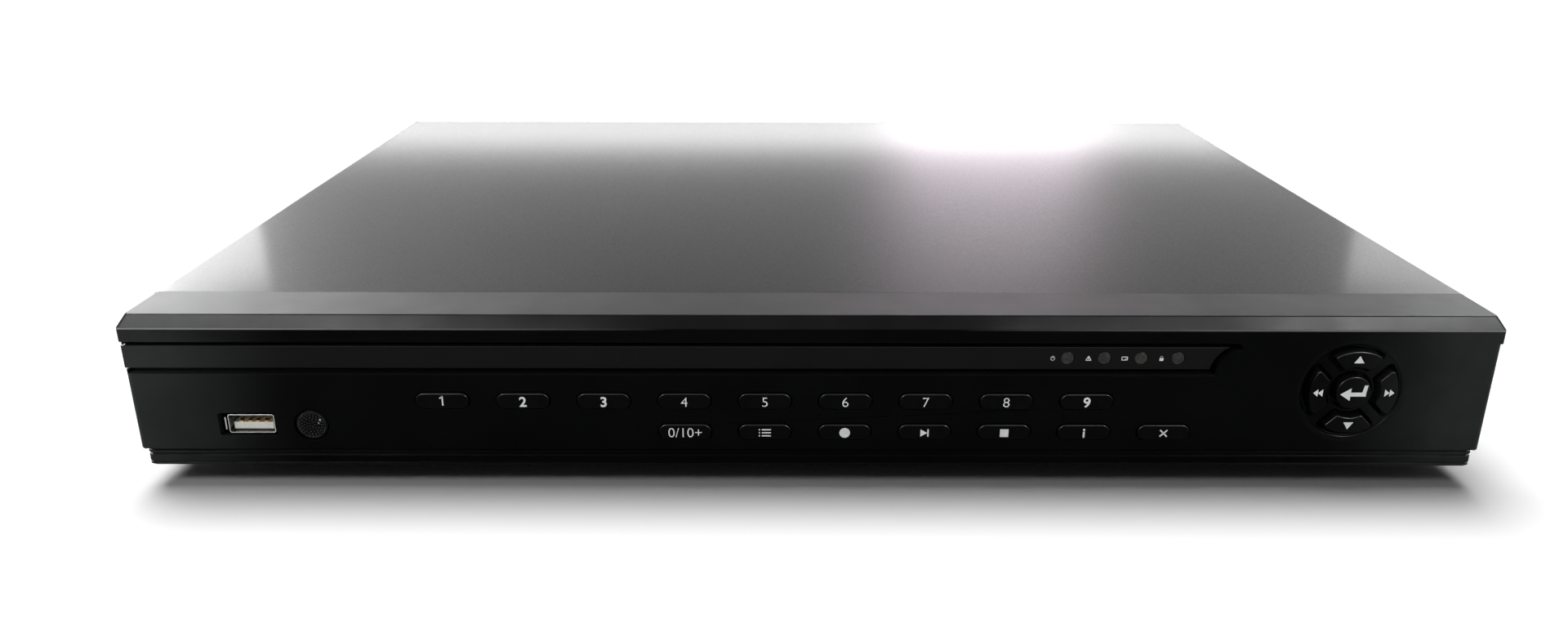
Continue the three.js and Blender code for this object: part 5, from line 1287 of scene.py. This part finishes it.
# Video inputs: eight bayonet sockets of nickel-plated brass on one cast block, each with its nut,
# washer, white insulator and gilt centre contact.
video_tip = video_high.y
body_back = rear_y - sheet - opening_gap
block_corner, block_rim, block_overlap = 0.8 * MM, 0.3 * MM, 0.1 * MM
video_wall, video_seat_bore = 0.7 * MM, 0.4 * MM
barrel_rows = ((4.8, 5.2), (4.45, 5), (4.45, 4.4), (4.8, 4.2), (4.8, 0.3), (4.55, 0), (4.25, 0), (4.1, 0.2))
video_lug, lug_root, lug_rise, lug_drop = 0.9 * MM, 0.3 * MM, 1.0 * MM, 2.4 * MM
video_core, core_root = 2.4 * MM, 0.5 * MM
core_rows = ((2.4, 1.1), (2.2, 0.9), (0.75, 0.9), (0.75, 2.0))
pin_rows = ((0.7, 3.0), (0.7, 1.1), (0.35, 1.1), (0.35, 2.4))
video_nut, video_nut_depth, nut_rim = 6.3 * MM, 1.9 * MM, 0.25 * MM
video_washer, video_washer_depth, washer_gap = 6.5 * MM, 0.6 * MM, 0.02 * MM
number_size, number_rise = 3 * MM, 8.1 * MM


def tip_profile(tip, rows):
    """Profile from rows of a radius and a setback from a socket's tip, both in millimetres."""
    return [(radius * MM, tip - setback * MM) for radius, setback in rows]


cast_alloy = finish(
    "cast_alloy", grain, {"Grain": 1800, "Patch": 150},
    ((0.42, 0.43, 0.44), (0.5, 0.51, 0.52)), (0.4, 0.52), 0.02 * MM, Metallic=1.0,
)
video_line = node_outline("video_input_block", block_corner)
fit(slab("video_block", video_line, "y", video_low.y, body_back, block_rim), cast_alloy, recorder,
    "cast_alloy", "video_input_block")
barrels, cores, pins = [], [], []
nut_ends = (rear_y + video_washer_depth, rear_y + video_washer_depth + video_nut_depth)
for spot in grid(video_x, video_z):
    barrels.append(turned("barrel", [
        (video_radius - video_wall, body_back - block_overlap), (video_radius, body_back - block_overlap),
        *tip_profile(video_tip, barrel_rows),
        (video_radius - video_wall, rear_y), (video_seat_bore, rear_y), (video_seat_bore, body_back),
    ], spot, "y", 48))
    for side in (-1, 1):
        ends = sorted(spot[0] + side * np.array((video_radius - lug_root, video_radius + lug_rise)))
        barrels.append(rod("lug", video_lug, ends, (video_tip - lug_drop, spot[1]), 20, "x"))
    barrels.append(slab("nut", circle(spot, video_nut, 6), "y", *nut_ends, nut_rim))
    barrels.append(rod("washer", video_washer, (rear_y + washer_gap, nut_ends[0]), spot, 40))
    core_line = [(video_core, rear_y - core_root), *tip_profile(video_tip, core_rows)]
    cores.append(turned("core", core_line, spot, "y", 32))
    pins.append(turned("pin", tip_profile(video_tip, pin_rows), spot, "y", 20))
fit(fuse("video_barrels", *barrels), bright_steel, recorder, "bright_steel")
fit(fuse("video_insulators", *cores), socket_white, recorder, "white_plastic")
fit(fuse("video_pins", *pins), gilt, recorder, "bright_steel")
for i, spot in enumerate(grid(video_x, video_z)):
    printed_text(f"video_number_{i + 1}", str(i + 1), number_size, plain, spot + (0, number_rise),
                 rear_y, recorder, -1, dark_ink)


# Sound sockets: four phono sockets on a black block, each a plated ring about a white or red
# insulator, with the two rows for in and out.
audio_tip = audio_high.y
audio_wall, audio_bore, ring_taper = 0.45 * MM, 1.7 * MM, 0.05 * MM
ring_rows = ((4.15, 0.4), (3.95, 0), (3.7, 0), (3.7, 2))
insert_radius, insert_root = 3.72 * MM, 0.5 * MM
insert_rows = ((3.72, 0.6), (1.9, 0.6), (1.7, 0.9))
fit(slab("audio_body", node_outline("audio_block", block_corner), "y", audio_low.y, body_back, block_rim),
    black_plastic, recorder, "black_plastic", "audio_block")
socket_red = finish(
    "socket_red", grain, {"Grain": 3000, "Patch": 300},
    ((0.5, 0.02, 0.02), (0.42, 0.015, 0.015)), (0.35, 0.45), 0.006 * MM,
)
rings, inserts = [], {"white": [], "red": []}
for i, spot in enumerate(grid(audio_x, audio_z)):
    rings.append(turned("ring", [
        (audio_radius, body_back - block_overlap), *tip_profile(audio_tip, ring_rows),
        (audio_radius - audio_wall - ring_taper, body_back - ring_taper),
    ], spot, "y", 48))
    inserts["red" if i % 2 else "white"].append(turned("insert", [
        (insert_radius, rear_y - insert_root), *tip_profile(audio_tip, insert_rows), (audio_bore, rear_y),
    ], spot, "y", 48))
fit(fuse("audio_rings", *rings), bright_steel, recorder, "bright_steel")
fit(fuse("audio_inserts_white", *inserts["white"]), socket_white, recorder, "white_plastic")
fit(fuse("audio_inserts_red", *inserts["red"]), socket_red, recorder, "white_plastic")


# Monitor socket: a slanted steel face about a blue insulator with three rows of five holes, between
# two hexagonal nuts.
monitor_tip, nut_tip = rear_y + 5.2 * MM, rear_y + 4.6 * MM
monitor_wall, monitor_rim, monitor_edge, mouth_floor = 0.5 * MM, 0.2 * MM, 0.1 * MM, 0.5 * MM
flange_corner, can_width, can_inset, can_corner = 1.2 * MM, 16.6 * MM, 0.5 * MM, 0.6 * MM
thread_radius = 1.3 * MM
insert_gap, insert_low = 0.5 * MM, 0.4 * MM
pin_radius, pin_depth, pin_step, row_step, row_shift = 0.45 * MM, 3 * MM, 2.29 * MM, 1.98 * MM, 0.6 * MM
port_low, port_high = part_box("monitor_port")
flange = slab("flange", node_outline("monitor_port", flange_corner), "y", body_back - sheet, body_back)
can_height = port_high.z - port_low.z - 2 * can_inset
can_line = box_outline((monitor_x, monitor_z), can_width, can_height, can_corner)
can = slab("can", can_line, "y", port_low.y, body_back - can_inset)
face_line = monitor_outline(0, monitor_corner)
face = slab("face", face_line, "y", body_back - block_overlap, monitor_tip, monitor_rim)
carve(face, prism("mouth", inset(face_line, monitor_wall), "y", rear_y + mouth_floor, monitor_tip + overrun))
nuts = []
for x in (-nut_x, nut_x):
    spot = (monitor_x + x, monitor_z)
    nut = slab("nut", circle(spot, nut_radius, 6, 30), "y", body_back, nut_tip, nut_rim)
    nuts.append(carve(nut, rod("thread", thread_radius, (rear_y + MM, nut_tip + overrun), spot)))
soften(face, monitor_edge, square_turn)
fit(fuse("monitor_shell", flange, can, face, *nuts), bright_steel, recorder, "bright_steel", "monitor_port")
socket_blue = finish(
    "socket_blue", grain, {"Grain": 3000, "Patch": 300},
    ((0.015, 0.05, 0.28), (0.012, 0.04, 0.22)), (0.38, 0.48), 0.006 * MM,
)
insert = slab("monitor_insert", inset(face_line, monitor_wall + insert_gap), "y",
              rear_y + insert_low, monitor_tip - insert_gap, monitor_rim)
pin_holes = [
    (monitor_x + pin_step * (i - 2) + (row_shift if row == 1 else 0), monitor_z + row_step * (row - 1))
    for row in range(3) for i in range(5)
]
pin_ends = (monitor_tip - pin_depth, monitor_tip + overrun)
carve(insert, *[rod("hole", pin_radius, pin_ends, spot, 12) for spot in pin_holes])
fit(insert, socket_blue, recorder, "green_plastic")


# Digital picture socket and network socket: steel boxes with a black tongue in one, and a stepped
# mouth with eight gilt springs in the other. The rear USB socket is made as the front one is.
port_low, port_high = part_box("digital_video_port")
port_x, port_z = middle("digital_video_port")
port_half = (port_high.x - port_low.x) / 2
port_wall, port_floor, port_corner, port_edge = 0.5 * MM, 1.2 * MM, 0.4 * MM, 0.08 * MM
port_shoulder, port_slant = port_z - 0.9 * MM, 1.9 * MM
tongue_line = box_outline((port_x, port_z + 0.3 * MM), 11 * MM, 1.2 * MM, 0.2 * MM)
port_line = rounded([
    (port_x + port_half, port_high.z), (port_x - port_half, port_high.z), (port_x - port_half, port_shoulder),
    (port_x - port_half + port_slant, port_low.z), (port_x + port_half - port_slant, port_low.z),
    (port_x + port_half, port_shoulder),
], port_corner)
port = slab("digital_video_shell", port_line, "y", port_low.y, port_high.y)
carve(port, prism("mouth", inset(port_line, port_wall), "y", port_low.y + port_floor, port_high.y + overrun))
fit(soften(port, port_edge, square_turn), bright_steel, recorder, "bright_steel", "digital_video_port")
fit(slab("digital_video_tongue", tongue_line, "y", port_low.y + MM, rear_y), black_plastic, recorder,
    "black_plastic")

lan_low, lan_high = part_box("network_port")
lan_x = middle("network_port")[0]
mouth_low, mouth_height, mouth_half, mouth_depth = lan_low.z + 2.6 * MM, 8.2 * MM, 5.9 * MM, 13 * MM
key_half, key_drop = 3.0 * MM, 1.6 * MM
lan_rim, lan_edge = 0.2 * MM, 0.12 * MM
spring_pitch, spring_half, spring_drop = 1.02 * MM, 0.22 * MM, 3.4 * MM
spring_tip, spring_end, spring_line = 2 * MM, 11 * MM, (0.3 * MM, 0.4 * MM)
top = mouth_low + mouth_height
mouth_line = [
    (lan_x + mouth_half, top), (lan_x - mouth_half, top),
    (lan_x - mouth_half, mouth_low), (lan_x - key_half, mouth_low), (lan_x - key_half, mouth_low - key_drop),
    (lan_x + key_half, mouth_low - key_drop), (lan_x + key_half, mouth_low), (lan_x + mouth_half, mouth_low),
]
lan = slab("network_shell", node_outline("network_port", port_corner), "y", lan_low.y, lan_high.y, lan_rim)
carve(lan, prism("mouth", mouth_line, "y", lan_high.y - mouth_depth, lan_high.y + overrun))
fit(soften(lan, lan_edge, square_turn), bright_steel, recorder, "bright_steel", "network_port")
tip, end = lan_high.y - spring_tip, lan_high.y - spring_end
side = [(tip, top - spring_line[0]), (tip, top), (end, top), (end, top - spring_drop),
        (end + spring_line[1], top - spring_drop)]
spring_x = lan_x + spring_pitch * (np.arange(8) - 3.5)
springs = [prism("spring", side, "x", x - spring_half, x + spring_half) for x in spring_x]
fit(fuse("network_contacts", *springs), gilt, recorder, "bright_steel")
usb_low, usb_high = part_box("rear_usb_port")
usb_socket("rear_usb", middle("rear_usb_port"), usb_high.y, usb_low.y, -1, "rear_usb_port")


# Terminal block for the alarm and control wires: green plastic with eight square ways, each under a
# small slotted screw.
term_low, term_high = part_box("terminal_block")
way_pitch, way_size, way_corner = 3.5 * MM, 2.4 * MM, 0.15 * MM
way_x = middle("terminal_block")[0] + way_pitch * (np.arange(8) - 3.5)
way_z = term_low.z + 1.6 * MM + way_size / 2
screw_z, screw_radius = term_high.z - 2.2 * MM, 1.1 * MM
screw_gap, screw_drops, screw_top = 0.1 * MM, (0.4 * MM, 0.25 * MM), 0.8 * MM
screw_floor, screw_seat = rear_y + 1.6 * MM, rear_y + 1.5 * MM
term_corner, term_edge = 0.5 * MM, 0.1 * MM
slot_reach, slot_depth, slot_half = 2 * MM, 0.7 * MM, 0.16 * MM
green_plastic = finish(
    "green_plastic", grain, {"Grain": 2600, "Patch": 150},
    ((0.02, 0.16, 0.07), (0.015, 0.12, 0.05)), (0.4, 0.5), 0.01 * MM,
)
term_line = node_outline("terminal_block", term_corner)
terminal = slab("terminal_body", term_line, "y", term_low.y, term_high.y, block_rim)
outside = term_high.y + overrun
ways = [box_outline((x, way_z), way_size, way_size, way_corner) for x in way_x]
carve(terminal, *[prism("way", way, "y", rear_y, outside) for way in ways],
      *[rod("well", screw_radius, (screw_floor, outside), (x, screw_z), 20) for x in way_x])
fit(soften(terminal, term_edge, square_turn), green_plastic, recorder, "green_plastic", "terminal_block")
heads = []
for x in way_x:
    head = turned("head", [
        (screw_radius - screw_gap, screw_seat), (screw_radius - screw_gap, term_high.y - screw_drops[0]),
        (screw_top, term_high.y - screw_drops[1]),
    ], (x, screw_z), "y", 20)
    slot = block("slot", (x - slot_reach, x + slot_reach), (term_high.y - slot_depth, term_high.y),
                 (screw_z - slot_half, screw_z + slot_half))
    heads.append(carve(head, slot))
fit(fuse("terminal_screws", *heads), bright_steel, recorder, "bright_steel")


# Power inlet and switch: a black round-mouthed inlet with a bright pin, and a black housing with a
# rocker that tilts on two pins, marked with a bar and a ring. The earth screw is beside them.
jack_low, jack_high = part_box("power_jack")
jack_spot = middle("power_jack")
jack_bore, jack_bore_depth, jack_bevel = 3.2 * MM, 9.5 * MM, 0.3 * MM
jack_pin, pin_tip, pin_share = 1.0 * MM, 0.01 * MM, 0.98
jack = slab("inlet_body", node_outline("power_jack", block_corner), "y", jack_low.y, jack_high.y, block_rim)
carve(jack, turned("bore", [
    (jack_bore, jack_high.y - jack_bore_depth), (jack_bore, jack_high.y - jack_bevel),
    (jack_bore + jack_bevel, jack_high.y), (jack_bore + jack_bevel, jack_high.y + overrun),
], jack_spot, "y", 48))
fit(soften(jack, port_edge, square_turn), black_plastic, recorder, "black_plastic", "power_jack")
fit(turned("inlet_pin", [
    (jack_pin, jack_high.y - jack_bore_depth - jack_bevel),
    *quarter_round(jack_pin * pin_share + pin_tip, rear_y, jack_pin * pin_share, -jack_pin),
], jack_spot, "y", 24), bright_steel, recorder, "bright_steel")

flange_back = switch_high.y
rocker_half_width, rocker_half, rocker_rise = 4.0 * MM, 5.6 * MM, 2.2 * MM
rocker_tilt = 12
rocker_keel, rocker_keel_half = 3.4 * MM, 2.6 * MM
rocker_pin, pin_reach = 1.0 * MM, 1.0 * MM
rocker_proud, saddle_power, rocker_edge = 0.4 * MM, 1.3, 0.15 * MM
housing_rim, well_corner = 0.2 * MM, 0.3 * MM
bezel_corner, bezel_rim, bezel_edge = 1.6 * MM, 0.5 * MM, 0.12 * MM
pivot = np.array((flange_back + rocker_proud - rocker_rise, switch_spot[1]))
tip_rise = rocker_rise + rocker_half * np.tan(np.radians(rocker_tilt))
reach = np.hypot(rocker_half, tip_rise)
well_size = 2 * np.array((rocker_half_width + opening_gap, reach + opening_gap))
well_line = box_outline(switch_spot, *well_size, well_corner)
housing_line = node_outline("power_switch_housing", block_corner, -switch_flange)
housing = slab("body", housing_line, "y", switch_low.y, rear_y + block_overlap, housing_rim)
carve(housing, prism("pocket", well_line, "y", pivot[0] - reach - opening_gap, flange_back + overrun))
bezel_line = node_outline("power_switch_housing", bezel_corner)
bezel = slab("bezel", bezel_line, "y", rear_y, flange_back, bezel_rim)
carve(bezel, prism("pocket", well_line, "y", rear_y - overrun, flange_back + overrun))
fit(fuse("switch_housing", housing, soften(bezel, bezel_edge, square_turn)), black_plastic, recorder,
    "black_plastic", "power_switch_housing")


def saddle_height(run):
    """Height of the rocker's face over its pins, at a run from its middle: from rocker_rise in the middle
    to tip_rise at the ends, by a power of the run's share of half its length."""
    return rocker_rise + (tip_rise - rocker_rise) * np.abs(run / rocker_half) ** saddle_power


run = rocker_half * np.linspace(-1, 1, 15)
saddle = np.stack((saddle_height(run), run), axis=1)
keel = [(0, rocker_half), (-rocker_keel, rocker_keel_half),
        (-rocker_keel, -rocker_keel_half), (0, -rocker_half)]
cosine, sine = np.cos(np.radians(rocker_tilt)), np.sin(np.radians(rocker_tilt))
leaning = np.array(((cosine, sine), (-sine, cosine)))
rocker_side = np.concatenate((saddle, keel)) @ leaning + pivot
rocker_ends = (switch_spot[0] - rocker_half_width, switch_spot[0] + rocker_half_width)
rocker = slab("rocker_body", rocker_side[::-1], "x", *rocker_ends, rocker_edge)
pin_ends = (rocker_ends[0] - pin_reach, rocker_ends[1] + pin_reach)
rocker_pins = rod("pins", rocker_pin, pin_ends, pivot, 24, "x")
fit(fuse("rocker_cap", rocker, rocker_pins), black_plastic, "power_rocker", "black_plastic", "power_rocker")


def lay_on_rocker(piece):
    """Lays flat print drawn about nought on the rocker's face, and turns it by the resting tilt."""
    points = points_of(piece.data)
    run = points[:, 2]
    points[:, 1:] = np.stack((saddle_height(run) + points[:, 1], run), axis=1) @ leaning + pivot
    piece.data.vertices.foreach_set("co", points.ravel())
    piece.data.update()


mark_line, mark_reach, bar_half, ring_radius = 0.32, 3.3, 1.0, 0.85
rocker_marks = {
    "rocker_bar": strokes(mark_line, [(0, mark_reach - bar_half), (0, mark_reach + bar_half)]),
    "rocker_ring": strokes(mark_line, arc((0, -mark_reach), ring_radius, 0, 360, 24)),
}
for name, outlines in rocker_marks.items():
    lay_on_rocker(sign(name, place_sign(outlines, (switch_spot[0], 0)), 0, "power_rocker"))

ground_low, ground_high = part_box("ground_screw")
earth_shank = 1.5 * MM
pan_screw("earth_screw", middle("ground_screw"), rear_y, (ground_high.x - ground_low.x) / 2,
          ground_high.y - rear_y, earth_shank, rear_y - ground_low.y, bright_steel, "bright_steel",
          "ground_screw")
earth_line = 0.3
earth_rise = 7 * MM
earth_sign = strokes(earth_line, [(0, 0.3), (0, 1.6)], [(-1.2, 0.3), (1.2, 0.3)],
                     [(-0.8, -0.35), (0.8, -0.35)], [(-0.4, -1.0), (0.4, -1.0)])
earth_spot = middle("ground_screw") + (0, earth_rise)
sign("earth_sign", place_sign(earth_sign, earth_spot), rear_y, recorder, dark_ink)


# Feet: rubber rounds that taper towards the floor, each with a hollow for the screw that holds it
# to the pan.
foot_radius, foot_top_radius = 9 * MM, 8 * MM
foot_hollow, foot_hollow_depth = 3 * MM, 2.5 * MM
foot_edge = 0.6 * MM
foot_rubber = finish(
    "foot_rubber", grain, {"Grain": 2500, "Patch": 90},
    ((0.012, 0.012, 0.0125), (0.02, 0.02, 0.021)), (0.75, 0.85), 0.02 * MM, Specular_IOR_Level=0.3,
)
for name in ("foot_1", "foot_2", "foot_3", "foot_4"):
    low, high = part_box(name)
    foot = turned(name + "_rubber", [
        (foot_hollow, low.z + foot_hollow_depth),
        (foot_hollow, low.z + foot_edge / 3),
        (foot_hollow + foot_edge / 3, low.z),
        *quarter_round(foot_radius, low.z, foot_edge, foot_edge, 5)[::-1],
        (foot_top_radius, high.z),
    ], middle(name, (0, 1)), "z", 64)
    fit(foot, foot_rubber, recorder, "rubber", name)


# Inside the case: a folded steel pan and front wall, two boards, two hard drives, a heat sink and
# the cables between them. Their shapes are those of the frame, with every edge rounded.
slot_of = {part["node"]: part["material_slot"] for part in frame["record"]["subparts"]}
merge_distance, flat_turn = 0.001 * MM, 1


def dress(node, material, width):
    """Rounds the edges of a merged copy of a node's mesh, and fits it in the node's place."""
    mesh = frame["nodes"][node].data.copy()
    mesh.transform(frame["nodes"][node].matrix_world)
    form = bmesh.new()
    form.from_mesh(mesh)
    bmesh.ops.remove_doubles(form, verts=form.verts, dist=merge_distance)
    bmesh.ops.dissolve_limit(form, angle_limit=np.radians(flat_turn), verts=form.verts, edges=form.edges)
    bmesh.ops.recalc_face_normals(form, faces=form.faces)
    form.to_mesh(mesh)
    form.free()
    return fit(soften(put_in(node + "_dressed", mesh), width), material, recorder, slot_of[node], node)


circuit_board = finish(
    "circuit_board", grain, {"Grain": 2200, "Patch": 260},
    ((0.012, 0.09, 0.04), (0.02, 0.12, 0.055)), (0.35, 0.5), 0.02 * MM,
)
cable_grey = finish(
    "cable_grey", drawn, {"Along": 900, "Across": 900},
    ((0.4, 0.4, 0.38), (0.3, 0.3, 0.29)), (0.5, 0.6), 0.05 * MM,
)
black_steel = finish(
    "black_steel", powder, {"Peel": 900, "Speck": 2600},
    ((0.03, 0.03, 0.031), (0.02, 0.02, 0.021)), (0.4, 0.5), 0.02 * MM,
)
inner_finishes = {
    "zinc_steel": zinc_steel, "circuit_board": circuit_board, "cast_alloy": cast_alloy,
    "cable": cable_grey, "black_steel": black_steel,
}
inner_edges = {
    "chassis_pan": 0.2 * MM, "front_wall": 0.15 * MM, "front_board": 0.12 * MM, "mainboard": 0.15 * MM,
    "heatsink": 0.15 * MM, "hard_drive_1": 0.4 * MM, "hard_drive_2": 0.4 * MM,
    "front_panel_cable": 0.1 * MM, "drive_cable_1": 0.3 * MM, "drive_cable_2": 0.3 * MM,
    "fan_cable": 0.2 * MM,
}
for node, width in inner_edges.items():
    dress(node, inner_finishes[slot_of[node]], width)
